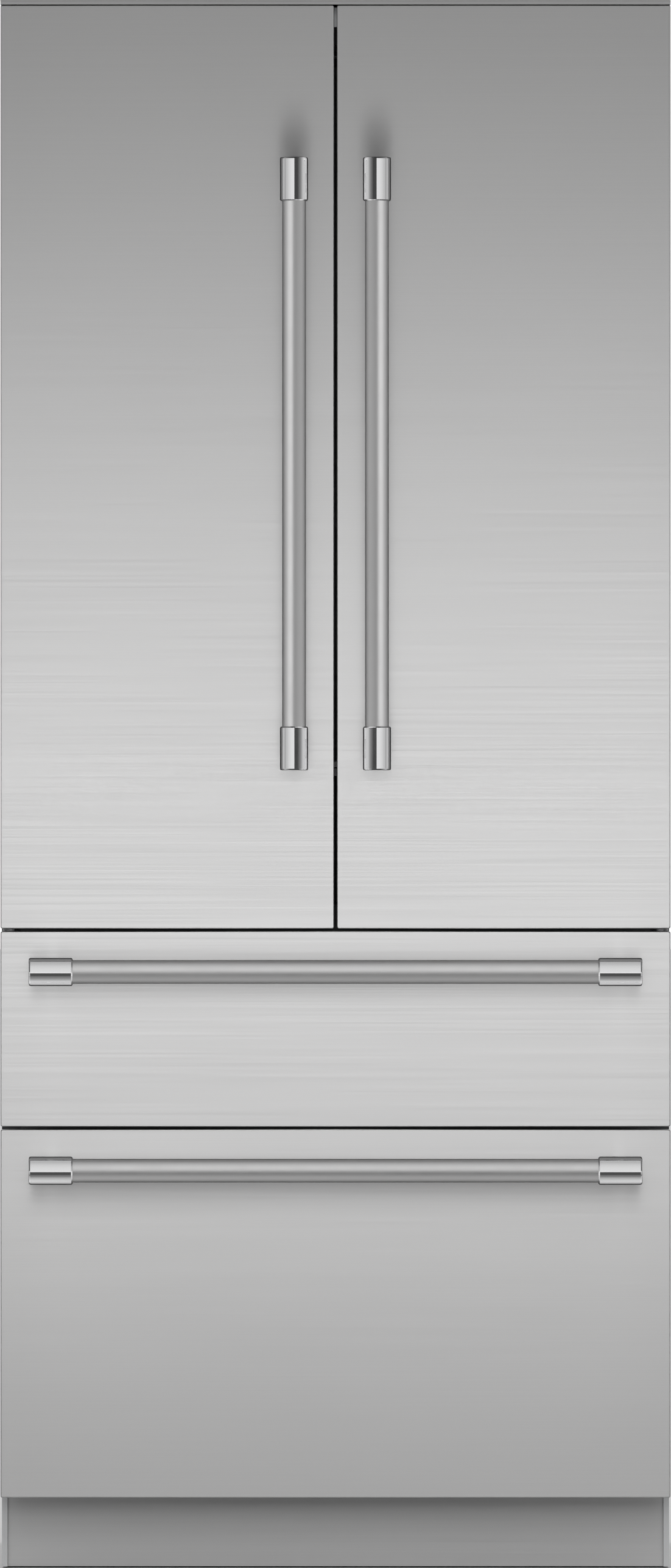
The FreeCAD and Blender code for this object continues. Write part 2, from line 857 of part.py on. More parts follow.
def pane(x0, x1, top):
    inset = shelf_border - shelf_lip + glass_play
    low = top - glass_thickness - glass_play
    return block(x0 + inset, x1 - inset, shelf_front_y + inset, shelf_back_y - inset,
                 low, low + glass_thickness)


def shelf_arm(x, top):
    """A tapered arm under a shelf, with a hook that goes into its track."""
    low = top - shelf_thickness
    half = arm_sheet / 2
    profile = [
        (shelf_front_y, low), (track_face_y, low), (track_face_y, low - arm_heel),
        (shelf_front_y, low - arm_tip),
    ]
    arm = along_x(profile, x - half, x + half)
    middle = top - hook_drop
    reach = track_face_y + track_sheet + hook_reach
    hook = block(x - half, x + half, track_face_y, reach,
                 middle - hook_height / 2, middle + hook_height / 2)
    return arm.fuse(hook)


shelf_x0 = shelf_middle_gap / 2
shelf_x1 = inner_half - shelf_side_gap


def crisper_cover():
    """The frame over the crispers, with the guides that carry them."""
    low = cover_z - shelf_thickness
    ledge_top = crisper_rim - crisper_wall - crisper_play
    ledge_low = ledge_top - guide_sheet
    reach = crisper_side_play + crisper_lip - crisper_play
    half = guide_sheet / 2
    side = inner_half - guide_sheet
    tee = [
        (half, low), (-half, low), (-half, ledge_top), (-half - reach, ledge_top), (-half - reach, ledge_low),
        (half + reach, ledge_low), (half + reach, ledge_top), (half, ledge_top),
    ]
    ell = [
        (inner_half, low), (side, low), (side, ledge_top), (side - reach, ledge_top),
        (side - reach, ledge_low), (inner_half, ledge_low),
    ]
    halves = both_sides(glass_frame(0, inner_half, cover_z))
    guides = both_sides(along_y(ell, shelf_front_y, shelf_back_y))
    guides.append(along_y(tee, shelf_front_y, shelf_back_y))
    return halves[0].fuse(halves[1:] + guides).removeSplitter()


def shelf_frames():
    solids = [crisper_cover()]
    for top in shelf_levels():
        frame = glass_frame(shelf_x0, shelf_x1, top)
        frame = frame.fuse([shelf_arm(x, top) for x in track_places]).removeSplitter()
        solids += both_sides(frame)
    return group(solids)


def shelf_glass():
    solids = both_sides(pane(0, inner_half, cover_z))
    for top in shelf_levels():
        solids += both_sides(pane(shelf_x0, shelf_x1, top))
    return group(solids)


def shelf_track(x):
    """An upright channel on the back wall with a row of slots."""
    t = track_sheet
    half = track_width / 2
    profile = [
        (x - half, inner_back_y), (x - half, track_face_y), (x + half, track_face_y),
        (x + half, inner_back_y), (x + half - t, inner_back_y), (x + half - t, track_face_y + t),
        (x - half + t, track_face_y + t), (x - half + t, inner_back_y),
    ]
    track = along_z(profile, track_low, track_high)
    slots = []
    for step in range(first_slot, (shelf_rows + 1) * slots_per_row):
        middle = cover_z + slot_pitch * step - hook_drop
        slots.append(block(x - slot_width / 2, x + slot_width / 2, track_face_y, track_face_y + t,
                           middle - slot_height / 2, middle + slot_height / 2))
    return track.cut(slots)


def shelf_tracks():
    solids = []
    for x in track_places:
        solids += both_sides(shelf_track(x))
    return group(solids)


def crisper():
    """The right crisper: a clear tub with sliding lips and a finger notch in its front."""
    lip_x0 = guide_sheet / 2 + crisper_side_play
    lip_x1 = inner_half - guide_sheet - crisper_side_play
    x0 = lip_x0 + crisper_lip
    x1 = lip_x1 - crisper_lip
    back = shelf_back_y - shelf_back_gap
    tub = open_tub(x0, x1, shelf_front_y, back, crisper_floor, crisper_rim, crisper_wall, crisper_corner)
    lip_low = crisper_rim - crisper_wall
    front = shelf_front_y + crisper_corner
    rear = back - crisper_corner
    lips = [
        block(lip_x0, x0 + crisper_wall, front, rear, lip_low, crisper_rim),
        block(x1 - crisper_wall, lip_x1, front, rear, lip_low, crisper_rim),
    ]
    middle = (x0 + x1) / 2
    notch = block(middle - grip_width / 2, middle + grip_width / 2, shelf_front_y,
                  shelf_front_y + crisper_wall, crisper_rim - grip_height, crisper_rim)
    corners = parallel_edges(notch, Vector(0, 1, 0))
    notch = notch.makeFillet(grip_round, [edge for edge in corners if edge.Vertexes[0].Z < lip_low])
    return tub.fuse(lips).removeSplitter().cut(notch)


def light_bars():
    y0 = cabinet_y + light_setback
    bar = block(inner_half - light_depth, inner_half, y0, y0 + light_width,
                cover_z + light_margin, fridge_ceiling - light_margin)
    bar = bar.makeChamfer(light_depth / 3, edges_at(bar, 0, inner_half - light_depth))
    return group(both_sides(bar))


def control_panel():
    """A sloping housing under the fridge's ceiling."""
    y0 = cabinet_y + control_setback
    y1 = y0 + control_depth
    profile = [
        (y0, fridge_ceiling), (y0, fridge_ceiling - control_height / 3),
        (y1, fridge_ceiling - control_height), (y1, fridge_ceiling),
    ]
    housing = along_x(profile, -control_width / 2, control_width / 2)
    return housing.makeFillet(control_round, parallel_edges(housing, Vector(1, 0, 0))[1:3])


def air_duct_cover():
    """A hollow spine on the fridge's back wall with a slot at each level of air."""
    t = duct_sheet
    half = duct_width / 2
    front = inner_back_y - duct_depth
    shell = rounded_block(-half, half, front, inner_back_y, track_low, track_high, t, Vector(0, 0, 1))
    shell = shell.cut(block(-half + t, half - t, front + t, inner_back_y, track_low + t, track_high - t))
    pitch = (track_high - track_low) / duct_vents
    vents = []
    for row in range(duct_vents):
        middle = track_low + pitch * (row + 0.5)
        vents.append(block(-vent_width / 2, vent_width / 2, front, front + t,
                           middle - vent_height / 2, middle + vent_height / 2))
    return shell.cut(vents)


def door_bins(x0, x1):
    """Open bins between the dykes of a door, with round front corners."""
    up = Vector(0, 0, 1)
    inset = dyke_inset + dyke_width
    lowest = cover_z + bin_margin
    highest = door_top - inset - bin_margin - bin_height
    y1 = core_back_y + bin_depth

    def tub_form(grow, z0, z1):
        solid = block(x0 + inset + bin_side_play + grow, x1 - inset - bin_side_play - grow,
                      core_back_y + grow, y1 - grow, z0, z1)
        corners = [edge for edge in parallel_edges(solid, up) if edge.Vertexes[0].Y > y1 - grow - 1e-4]
        return solid.makeFillet(bin_corner - grow, corners)

    bins = []
    for row in range(bin_rows):
        z0 = lowest + (highest - lowest) * row / (bin_rows - 1)
        z1 = z0 + bin_height
        bins.append(tub_form(0, z0, z1).cut(tub_form(bin_wall, z0 + bin_wall, z1)))
    return group(bins)


# Cooling parts

evaporator_fan_z = freezer_ceiling - evaporator_top_gap - evaporator_fan_radius - 2 * fan_mouth_gap
evaporator_coil_y = evaporator_y + evaporator_space / 2
condenser_fan_z = base_top + shroud_side / 2


def fan(radius):
    """A fan on +Z from the origin: a bored hub with twisted blades."""
    up = Vector(0, 0, 1)
    hub = rod(fan_hub_radius, Vector(0, 0, 0), up, fan_hub_length)

    def section(reach, chord, pitch):
        angle = math.radians(pitch)
        along = Vector(0, math.cos(angle), math.sin(angle)) * (chord / 2)
        across = Vector(0, -math.sin(angle), math.cos(angle)) * (fan_blade_sheet / 2)
        middle = Vector(reach, 0, fan_hub_length / 2)
        front = middle + along
        back = middle - along
        corners = [back - across, front - across, front + across, back + across]
        return Part.makePolygon(corners + corners[:1])

    root = section(fan_hub_radius * fan_root_share, fan_root_chord, fan_root_pitch)
    tip = section(radius, radius * fan_tip_share, fan_tip_pitch)
    blade = Part.makeLoft([root, tip], True, True)
    blades = [blade.rotated(Vector(0, 0, 0), up, 360.0 / fan_blades * turn) for turn in range(fan_blades)]
    wheel = hub.fuse(blades).removeSplitter()
    return wheel.cut(rod(fan_shaft_radius + running_clearance, Vector(0, 0, 0), up, fan_hub_length))


def fan_carrier(mouth_radius, sheet):
    """Spokes across a fan's mouth, the motor on them and its shaft, on +Z from the origin."""
    up = Vector(0, 0, 1)
    start = Vector(0, 0, 0)
    motor = rod(fan_motor_radius, start, up, fan_motor_length)
    shaft = rod(fan_shaft_radius, Vector(0, 0, fan_motor_length), up, fan_hub_length + fan_end_gap)
    spoke = block(0, mouth_radius + fan_spoke, -fan_spoke / 2, fan_spoke / 2, 0, sheet)
    spokes = [spoke.rotated(start, up, 360.0 / fan_spokes * turn + 90) for turn in range(fan_spokes)]
    return motor.fuse([shaft] + spokes).removeSplitter()


def facing_back(shape):
    """Turns a piece on +Z to +Y, at the evaporator fan's place."""
    turned = shape.rotated(Vector(0, 0, 0), Vector(1, 0, 0), -90)
    return turned.translated(Vector(0, evaporator_y, evaporator_fan_z))


def facing_right(shape):
    """Turns a piece on +Z to +X, at the condenser fan's place."""
    turned = shape.rotated(Vector(0, 0, 0), Vector(0, 1, 0), 90)
    return turned.translated(Vector(shroud_x, machine_mid_y, condenser_fan_z))


def on_shaft(wheel):
    return wheel.translated(Vector(0, 0, fan_motor_length + fan_end_gap))


def evaporator_cover():
    """A shallow pan before the evaporator, with the fan's mouth and motor and slots for returning air."""
    t = evaporator_sheet
    half = tub_half - evaporator_side_gap
    low = step_z + evaporator_top_gap
    high = freezer_ceiling - evaporator_top_gap
    mouth = evaporator_fan_radius + fan_mouth_gap
    pan = block(-half, half, evaporator_y, inner_back_y, low, high)
    pan = pan.cut(block(-half + t, half - t, evaporator_y + t, inner_back_y, low + t, high - t))
    openings = [rod(mouth, Vector(0, evaporator_y, evaporator_fan_z), Vector(0, 1, 0), t)]
    slot_low = low + return_slot_rise
    for index in range(return_slots):
        x = return_slot_pitch * (index - (return_slots - 1) / 2)
        openings.append(block(x - return_slot_width / 2, x + return_slot_width / 2, evaporator_y,
                              evaporator_y + t, slot_low, slot_low + return_slot_height))
    return pan.cut(openings).fuse(facing_back(fan_carrier(mouth, t))).removeSplitter()


def half_turn(start, end, bulge):
    """The points between start and end of a half circle that swells towards the bulge direction."""
    middle = (start + end) * 0.5
    arm = start - middle
    points = []
    for step in range(1, bend_steps):
        angle = math.pi * step / bend_steps
        points.append(middle + arm * math.cos(angle) + bulge * (arm.Length * math.sin(angle)))
    return points


def swept_tube(points, radius):
    """A tube with flat sides along a line of points that starts along X."""
    corners = []
    for side in range(tube_sides):
        angle = 2 * math.pi * (side + 0.5) / tube_sides
        corners.append(points[0] + Vector(0, math.cos(angle), math.sin(angle)) * radius)
    sweep = Part.BRepOffsetAPI.MakePipeShell(Part.makePolygon(points))
    sweep.setTransitionMode(1)
    sweep.add(Part.makePolygon(corners + corners[:1]))
    sweep.build()
    sweep.makeSolid()
    return sweep.shape()


def serpentine(x0, x1, y, heights):
    """The points of a flat coil that starts at x0 on the first height."""
    points = []
    for index, z in enumerate(heights):
        ends = (x0, x1) if index % 2 == 0 else (x1, x0)
        end = Vector(ends[1], y, z)
        points += [Vector(ends[0], y, z), end]
        if index + 1 < len(heights):
            outward = Vector(1, 0, 0) if ends[1] > ends[0] else Vector(-1, 0, 0)
            points += half_turn(end, Vector(ends[1], y, heights[index + 1]), outward)
    return points


def evaporator_coil():
    half = tub_half - evaporator_side_gap - evaporator_end_gap
    low = step_z + evaporator_top_gap + evaporator_pitch
    heights = [low + evaporator_pitch * row for row in range(evaporator_rows)]
    tube = swept_tube(serpentine(-half, half, evaporator_coil_y, heights), evaporator_tube / 2)
    fins = []
    for index in range(evaporator_fins):
        x = half * (2.0 * (index + 0.5) / evaporator_fins - 1)
        fins.append(block(x - evaporator_fin_sheet / 2, x + evaporator_fin_sheet / 2,
                          evaporator_coil_y - evaporator_fin_depth / 2, inner_back_y,
                          heights[0] - evaporator_pitch / 2, heights[-1] + evaporator_pitch / 2))
    return tube.fuse(fins)


def compressor():
    """A drawn steel can with a welded seam, on a plate with rubber feet."""
    up = Vector(0, 0, 1)
    low = base_top + compressor_foot
    centre = Vector(compressor_x, machine_mid_y, low)
    bottom_dome = [
        (compressor_radius * math.sin(angle), compressor_dome * (1 - math.cos(angle)))
        for angle in [math.pi / 2 * step / dome_steps for step in range(dome_steps + 1)]
    ]
    top_dome = [(radius, compressor_height - height) for radius, height in bottom_dome[::-1]]
    can = revolved(bottom_dome + top_dome, centre, up, Vector(1, 0, 0))
    seam_z = low + compressor_height / 2 - compressor_seam / 2
    seam = rod(compressor_radius + compressor_seam, Vector(centre.x, centre.y, seam_z), up, compressor_seam)
    half_x = compressor_plate_x / 2
    half_y = compressor_plate_y / 2
    plate = block(centre.x - half_x, centre.x + half_x, centre.y - half_y, centre.y + half_y,
                  low, low + compressor_foot)
    feet = []
    for sx in (-1, 1):
        for sy in (-1, 1):
            x = centre.x + sx * (half_x - compressor_foot_radius)
            y = centre.y + sy * (half_y - compressor_foot_radius)
            feet.append(rod(compressor_foot_radius, Vector(x, y, base_top), up, compressor_foot))
    stub_foot = centre + Vector(0, 0, compressor_height * 2 / 3)
    stub_length = compressor_radius + compressor_tube_length
    stubs = []
    for sign in (-1, 1):
        angle = math.radians(sign * compressor_tube_angle)
        outward = Vector(math.cos(angle), math.sin(angle), 0)
        stubs.append(rod(compressor_tube_radius, stub_foot, outward, stub_length))
    return can.fuse([seam, plate] + feet + stubs).removeSplitter()


def fan_shroud():
    """An upright plate round the condenser fan, with a foot on the base pan."""
    half = shroud_side / 2
    mouth = condenser_fan_radius + fan_mouth_gap
    plate = block(shroud_x, shroud_x + shroud_sheet, machine_mid_y - half, machine_mid_y + half,
                  base_top, base_top + shroud_side)
    foot = block(shroud_x - shroud_foot, shroud_x, machine_mid_y - half, machine_mid_y + half,
                 base_top, base_top + shroud_sheet)
    hole = rod(mouth, Vector(shroud_x, machine_mid_y, condenser_fan_z), Vector(1, 0, 0), shroud_sheet)
    carrier = facing_right(fan_carrier(mouth, shroud_sheet))
    return plate.cut(hole).fuse([foot, carrier]).removeSplitter()


def condenser_coil():
    """One tube in two flat coils, held by two end plates on the base pan."""
    low = base_top + condenser_rise
    heights = [low + condenser_pitch * run for run in range(condenser_runs)]
    front_y = machine_mid_y - condenser_row_gap / 2
    rear_y = machine_mid_y + condenser_row_gap / 2
    points = serpentine(condenser_x0, condenser_x1, front_y, heights)
    top = heights[-1]
    points += half_turn(points[-1], Vector(condenser_x0, rear_y, top), Vector(-1, 0, 0))
    points += serpentine(condenser_x0, condenser_x1, rear_y, heights[::-1])
    tube = swept_tube(points, condenser_tube / 2)
    plates = []
    for x in (condenser_x0 + condenser_plate_inset, condenser_x1 - condenser_plate_inset):
        plates.append(block(x - condenser_plate / 2, x + condenser_plate / 2, front_y - condenser_pitch,
                            rear_y + condenser_pitch, base_top, top + condenser_pitch / 2))
    return tube.fuse(plates)


def drain_pan():
    """A shallow pan between the condenser's end plates."""
    reach = condenser_plate_inset + drain_margin
    half = condenser_row_gap / 2 + condenser_pitch
    return open_tub(condenser_x0 + reach, condenser_x1 - reach, machine_mid_y - half, machine_mid_y + half,
                    base_top, base_top + drain_height, drain_wall, drain_corner)


def machine_cover():
    """The slotted rear cover of the machine compartment, with an inward collar where a cord goes in."""
    t = cabinet_sheet
    half = half_width - back_flange
    middle = (base_height + machine_height) / 2
    cover = block(-half, half, back_y - t, back_y, base_height, machine_height)
    slots = []
    for index in range(cover_slots):
        x = cover_slot_pitch * (index - (cover_slots - 1) / 2)
        slots.append(block(x - cover_slot_width / 2, x + cover_slot_width / 2, back_y - t, back_y,
                           middle - cover_slot_height / 2, middle + cover_slot_height / 2))
    inward = Vector(0, -1, 0)
    gland = Vector(half_width - gland_side_gap, back_y, base_top + gland_rise)
    collar = rod(gland_radius, gland, inward, gland_length)
    bore = rod(gland_bore, gland, inward, gland_length)
    return cover.fuse(collar).removeSplitter().cut(slots + [bore])


def write_cabinet():
    middle_line = upper_top + front_gap / 2
    lower_line = lower_top + front_gap / 2
    write("side_panels", group(both_sides(side_panel())))
    write("top_panel", top_panel())
    write("back_panel", back_panel())
    write("insulation", foam_slabs())
    write("fridge_liner", box_liner(fridge_floor, fridge_ceiling, middle_line, cabinet_top - seal_flange))
    write("drawer_liner", box_liner(upper_floor, upper_ceiling, lower_line, middle_line))
    write("freezer_liner", freezer_liner())
    write("top_trim", top_trim())
    write("kick_plate", kick_plate())
    write("base_frame", base_frame())
    write("leveling_feet", leveling_feet())
    write("door_hinges", door_hinges())
    write("slide_outer_members", group(slide_outer(upper_slide_z) + slide_outer(lower_slide_z)))
    write("machine_cover", machine_cover())


def write_fittings():
    write("shelf_tracks", shelf_tracks())
    write("shelf_frames", shelf_frames())
    write("shelf_glass", shelf_glass())
    write("light_bars", light_bars())
    write("control_panel", control_panel())
    write("air_duct_cover", air_duct_cover())
    right_crisper = crisper()
    write("right_crisper", right_crisper)
    write("left_crisper", mirrored(right_crisper))


def write_cooling():
    write("evaporator_cover", evaporator_cover())
    write("evaporator_coil", evaporator_coil())
    write("evaporator_fan", facing_back(on_shaft(fan(evaporator_fan_radius))))
    write("compressor", compressor())
    write("fan_shroud", fan_shroud())
    write("condenser_fan", facing_right(on_shaft(fan(condenser_fan_radius))))
    write("condenser_coil", condenser_coil())
    write("drain_pan", drain_pan())


def write_doors():
    span = (front_gap / 2, half_width, door_bottom, door_top)
    core = with_pin_bores(front_core(*span))
    right_pieces = {
        "door_panel": with_pin_bores(front_panel(*span)),
        "door_core": core,
        "door_gasket": front_gasket(*span),
        "door_bins": door_bins(span[0], span[1]),
        "handle_bar": on_door(handle_bar()),
        "handle_ends": on_door(handle_ends()),
    }
    for name, piece in right_pieces.items():
        write("right_" + name, piece)
        if name != "door_core":
            write("left_" + name, mirrored(piece))
    write("left_door_core", mirrored(core).fuse(mullion_arms()).removeSplitter())
    write("flip_mullion", flip_mullion())


def write_drawer(name, low, high, slide_z, tub_name, tub):
    span = (-half_width, half_width, low, high)
    write(name + "_drawer_panel", front_panel(*span))
    write(name + "_drawer_core", front_core(*span))
    write(name + "_drawer_gasket", front_gasket(*span))
    write(name + "_handle_bar", on_drawer(handle_bar(), high))
    write(name + "_handle_ends", on_drawer(handle_ends(), high))
    write(name + "_slide_inner", slide_inner(slide_z))
    write(name + "_slide_middle", slide_middle(slide_z))
    write(tub_name, tub)


os.makedirs("parts", exist_ok=True)
write_cabinet()
write_fittings()
write_cooling()
write_doors()
write_drawer("upper", upper_bottom, upper_top, upper_slide_z, "upper_drawer_tub", upper_drawer_tub())
write_drawer("lower", kick_height, lower_top, lower_slide_z, "freezer_basket", freezer_basket())
write("freezer_tray", freezer_tray())
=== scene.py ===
# %% [markdown]
# # A built-in french door refrigerator
#
# The refrigerator comes to this lesson as a finished assembly: sheet metal, foam, liners, doors, drawers
# and their hinges and slides, all at their real size. The lesson doesn't move or reshape any of that. It
# gives each surface its finish, adds the seals, trim and fasteners that a maker fits last, and sets up the
# studio around it.
#
# The first step loads the assembly and keeps its box.

# %% Load the assembly
import bpy
import bmesh
import json
import math
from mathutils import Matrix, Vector


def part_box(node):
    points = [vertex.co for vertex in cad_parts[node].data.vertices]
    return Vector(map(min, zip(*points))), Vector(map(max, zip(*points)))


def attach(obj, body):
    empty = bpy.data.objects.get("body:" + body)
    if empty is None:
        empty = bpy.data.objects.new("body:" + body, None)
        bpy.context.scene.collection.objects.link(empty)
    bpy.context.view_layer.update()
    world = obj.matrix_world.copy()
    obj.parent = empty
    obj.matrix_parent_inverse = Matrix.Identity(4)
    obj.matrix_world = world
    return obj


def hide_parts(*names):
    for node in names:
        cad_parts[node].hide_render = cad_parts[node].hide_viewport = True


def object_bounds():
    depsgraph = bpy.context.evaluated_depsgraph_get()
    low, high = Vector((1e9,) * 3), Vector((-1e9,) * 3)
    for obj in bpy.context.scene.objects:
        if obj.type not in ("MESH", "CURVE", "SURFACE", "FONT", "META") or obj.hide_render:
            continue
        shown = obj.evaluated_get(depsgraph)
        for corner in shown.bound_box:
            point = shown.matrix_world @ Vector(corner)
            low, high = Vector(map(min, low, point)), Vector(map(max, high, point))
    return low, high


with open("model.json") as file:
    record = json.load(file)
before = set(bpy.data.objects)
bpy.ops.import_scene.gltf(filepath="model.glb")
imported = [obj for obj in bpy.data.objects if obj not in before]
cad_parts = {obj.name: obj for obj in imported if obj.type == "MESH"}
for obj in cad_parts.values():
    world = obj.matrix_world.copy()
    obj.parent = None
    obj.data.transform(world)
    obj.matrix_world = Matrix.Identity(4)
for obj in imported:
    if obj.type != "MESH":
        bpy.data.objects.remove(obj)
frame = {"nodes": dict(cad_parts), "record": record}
cad_low, cad_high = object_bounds()
nodes = frame["nodes"]

# %% [markdown]
# ## The camera
#
# The photograph looks straight at the doors from far away, with the lens at half the height of the
# refrigerator. From so far away the sides of the cabinet stay hidden behind the doors. A long lens at the
# same distance gives the same picture: the door face fills the frame from edge to edge, and the kick
# plate, which stands further back, comes out just a little narrower than the doors.

# %% Place the camera
scene = bpy.context.scene
scene.view_settings.view_transform = "Standard"

face_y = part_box("left_door_panel")[0].y
camera_distance = 16.0
camera_height = 1.0674
frame_height = 2.1252  # what the picture's height spans on the door face
sensor = 36.0
farthest = 100.0

camera_data = bpy.data.cameras.new("front_camera")
camera_data.sensor_width = sensor
camera_data.lens = sensor * camera_distance / frame_height
camera_data.clip_end = farthest
camera = bpy.data.objects.new("front_camera", camera_data)
camera.location = (0.0, face_y - camera_distance, camera_height)
camera.rotation_euler = (math.radians(90), 0.0, 0.0)
scene.collection.objects.link(camera)
scene.camera = camera
print("lens", round(camera_data.lens, 1), "mm at", camera_distance, "m")

# %% [markdown]
# ## Small helpers
#
# Materials, lamps and the sky are all made of nodes here, and a few short helpers save a lot of typing.
# They start a material, add a node and fill its sockets by name, map one range of values to another, do a
# step of arithmetic, split a place into its axes and mix two colours. The last four give back what the
# next node is linked to.

# %% Node helpers
def new_material(name):
    """A material with its shader, ready for nodes."""
    material = bpy.data.materials.new(name)
    material.use_nodes = True
    tree = material.node_tree
    return material, tree, tree.nodes["Principled BSDF"]


def add_node(tree, kind, **settings):
    """Adds a node; a setting named after an input socket fills that socket."""
    node = tree.nodes.new("ShaderNode" + kind)
    for name, value in settings.items():
        if hasattr(node, name):
            setattr(node, name, value)
        else:
            node.inputs[name.replace("_", " ")].default_value = value
    return node


def map_range(tree, source, low, high, to_low, to_high):
    """Maps values from low to high to another range, and holds them there outside it."""
    node = add_node(tree, "MapRange", clamp=True, From_Min=low, From_Max=high, To_Min=to_low, To_Max=to_high)
    tree.links.new(source, node.inputs["Value"])
    return node.outputs["Result"]


def calculated(tree, operation, *sources):
    """One step of arithmetic on linked values."""
    node = add_node(tree, "Math", operation=operation)
    for socket, source in zip(node.inputs, sources):
        tree.links.new(source, socket)
    return node.outputs[0]


def split_axes(tree, place):
    """The X, Y and Z of a place or a direction."""
    node = add_node(tree, "SeparateXYZ")
    tree.links.new(place, node.inputs["Vector"])
    return node.outputs


def mix_colours(tree, factor, first, second):
    """Goes from the first colour, which may be a socket, to the second as factor goes from 0 to 1."""
    node = add_node(tree, "Mix", data_type="RGBA")
    tree.links.new(factor, node.inputs["Factor"])
    if isinstance(first, tuple):
        node.inputs[6].default_value = (*first, 1.0)
    else:
        tree.links.new(first, node.inputs[6])
    node.inputs[7].default_value = (*second, 1.0)
    return node.outputs[2]


print("helpers ready")

# %% [markdown]
# ## The studio
#
# Brushed steel has hardly any colour of its own: what we see on it is the room. A studio for steel
# therefore starts with the room, which is a floor and a dome here.
#
# The floor is a plain pale sheet. In its material, Light Path's Is Glossy Ray says that the floor is being
# seen in a mirror. Only then is shade painted on it in front of the refrigerator: a dark colour like that of
# a studio floor outside the pool of light.

# %% Floor
floor_half = 60.0
floor_pale = (0.80, 0.80, 0.80)
floor_worn = (0.76, 0.76, 0.76)
floor_unlit = (0.10, 0.10, 0.10)
floor_roughness = 0.8
lit_until = -0.2  # on Y, towards the camera
unlit_from = -0.8
unlit_half = 0.8  # on X, to each side
lit_half = 1.8

corners = ((-1, -1), (1, -1), (1, 1), (-1, 1))
floor_mesh = bpy.data.meshes.new("studio_floor")
floor_mesh.from_pydata([(x * floor_half, y * floor_half, cad_low.z) for x, y in corners], [], [(0, 1, 2, 3)])
floor = bpy.data.objects.new("studio_floor", floor_mesh)
scene.collection.objects.link(floor)

floor_material, tree, shader = new_material("pale_floor")
speckle = add_node(tree, "TexNoise", Scale=3.0, Detail=4.0)
pale = mix_colours(tree, speckle.outputs["Fac"], floor_worn, floor_pale)
axes = split_axes(tree, add_node(tree, "NewGeometry").outputs["Position"])
aside = calculated(tree, "ABSOLUTE", axes["X"])
# Painted shade: in front of the refrigerator the floor's colour turns dark, in mirrors only.
unlit = calculated(tree, "MULTIPLY", map_range(tree, axes["Y"], lit_until, unlit_from, 0.0, 1.0),
                   map_range(tree, aside, unlit_half, lit_half, 1.0, 0.0))
mirrored_unlit = calculated(tree, "MULTIPLY", unlit, add_node(tree, "LightPath").outputs["Is Glossy Ray"])
tree.links.new(mix_colours(tree, mirrored_unlit, pale, floor_unlit), shader.inputs["Base Color"])
shader.inputs["Roughness"].default_value = floor_roughness
floor_mesh.materials.append(floor_material)
print("floor", 2 * floor_half, "m wide")

# %% [markdown]
# The dome is white behind the refrigerator, grey beside it and dark in front, where a real studio has the
# unlit space behind the camera. It also darkens towards the zenith. Light Path tells who is looking:
# mirrors and glass see this dome, matt surfaces get an even light from it, and the camera sees white.

# %% Dome
dome_front = 0.04
dome_side = 0.62
dome_zenith = 0.12  # share that is left straight above
dome_fill = 0.85  # what matt surfaces get
dark_until = -0.8  # the Y of a direction, which is -1 straight to the front
white_from = 0.4

world = bpy.data.worlds.new("studio_dome")
scene.world = world
world.use_nodes = True
tree = world.node_tree
axes = split_axes(tree, add_node(tree, "TexCoord").outputs["Generated"])
around = calculated(tree, "ADD", map_range(tree, axes["Y"], dark_until, 0.0, dome_front, dome_side),
                    map_range(tree, axes["Y"], 0.0, white_from, 0.0, 1.0 - dome_side))
steepness = calculated(tree, "ABSOLUTE", axes["Z"])
dome = calculated(tree, "MULTIPLY", around, map_range(tree, steepness, 0.0, 1.0, 1.0, dome_zenith))

rays = add_node(tree, "LightPath").outputs
mirrored = calculated(tree, "MAXIMUM", rays["Is Glossy Ray"], rays["Is Transmission Ray"])
lit = add_node(tree, "Mix", data_type="FLOAT", A=dome_fill)
tree.links.new(mirrored, lit.inputs["Factor"])
tree.links.new(dome, lit.inputs["B"])
shown = add_node(tree, "Mix", data_type="FLOAT", B=1.0)
tree.links.new(rays["Is Camera Ray"], shown.inputs["Factor"])
tree.links.new(lit.outputs["Result"], shown.inputs["A"])
tree.links.new(shown.outputs["Result"], tree.nodes["Background"].inputs["Strength"])
tree.nodes["Background"].inputs["Color"].default_value = (1.0, 1.0, 1.0, 1.0)
print("dome from", dome_front, "in front to 1.0 behind")

# %% [markdown]
# ## Softboxes
#
# A softbox is a lamp with a large flat face. An area lamp does the same, and its energy is worked out here
# from the brightness of that face. A lamp can take its own nodes: the place on the lamp's face drives its
# strength, so a softbox can fade from one end to the other.
#
# Light linking tells a lamp which pieces it may light, and also which pieces may throw a shadow in its
# light. A product photographer does that with cards and flags.

# %% Softbox helpers
aims = {  # a lamp's turn in degrees, and the axes that its width and height run along
    "back": ((90, 0, 0), 0, 2),
    "down": ((0, 0, 0), 0, 1),
    "up": ((180, 0, 0), 0, 1),
    "left": ((90, 0, 90), 1, 2),
    "right": ((90, 0, -90), 1, 2),
}


def linked_group(name, pieces, leave_out=False):
    """The pieces that a lamp's link is for or, with leave_out, the only pieces that it isn't for."""
    chosen = bpy.data.collections.new(name)
    for piece in pieces:
        chosen.objects.link(piece)
    if leave_out:
        for entry in chosen.collection_objects:
            entry.light_linking.link_state = "EXCLUDE"
    return chosen


def fade_lamp(lamp_data, axis, stops):
    """Fades a lamp along its width, 0, or height, 1, through (place, strength) stops."""
    lamp_data.use_nodes = True
    tree = lamp_data.node_tree
    place = split_axes(tree, add_node(tree, "NewGeometry").outputs["Parametric"])
    ramp = add_node(tree, "ValToRGB")
    elements = ramp.color_ramp.elements
    while len(elements) < len(stops):
        elements.new(0.5)
    for element, (position, strength) in zip(elements, stops):
        element.position = position
        element.color = (strength, strength, strength, 1.0)
    tree.links.new(place[axis], ramp.inputs["Fac"])
    tree.links.new(ramp.outputs["Color"], tree.nodes["Emission"].inputs["Color"])


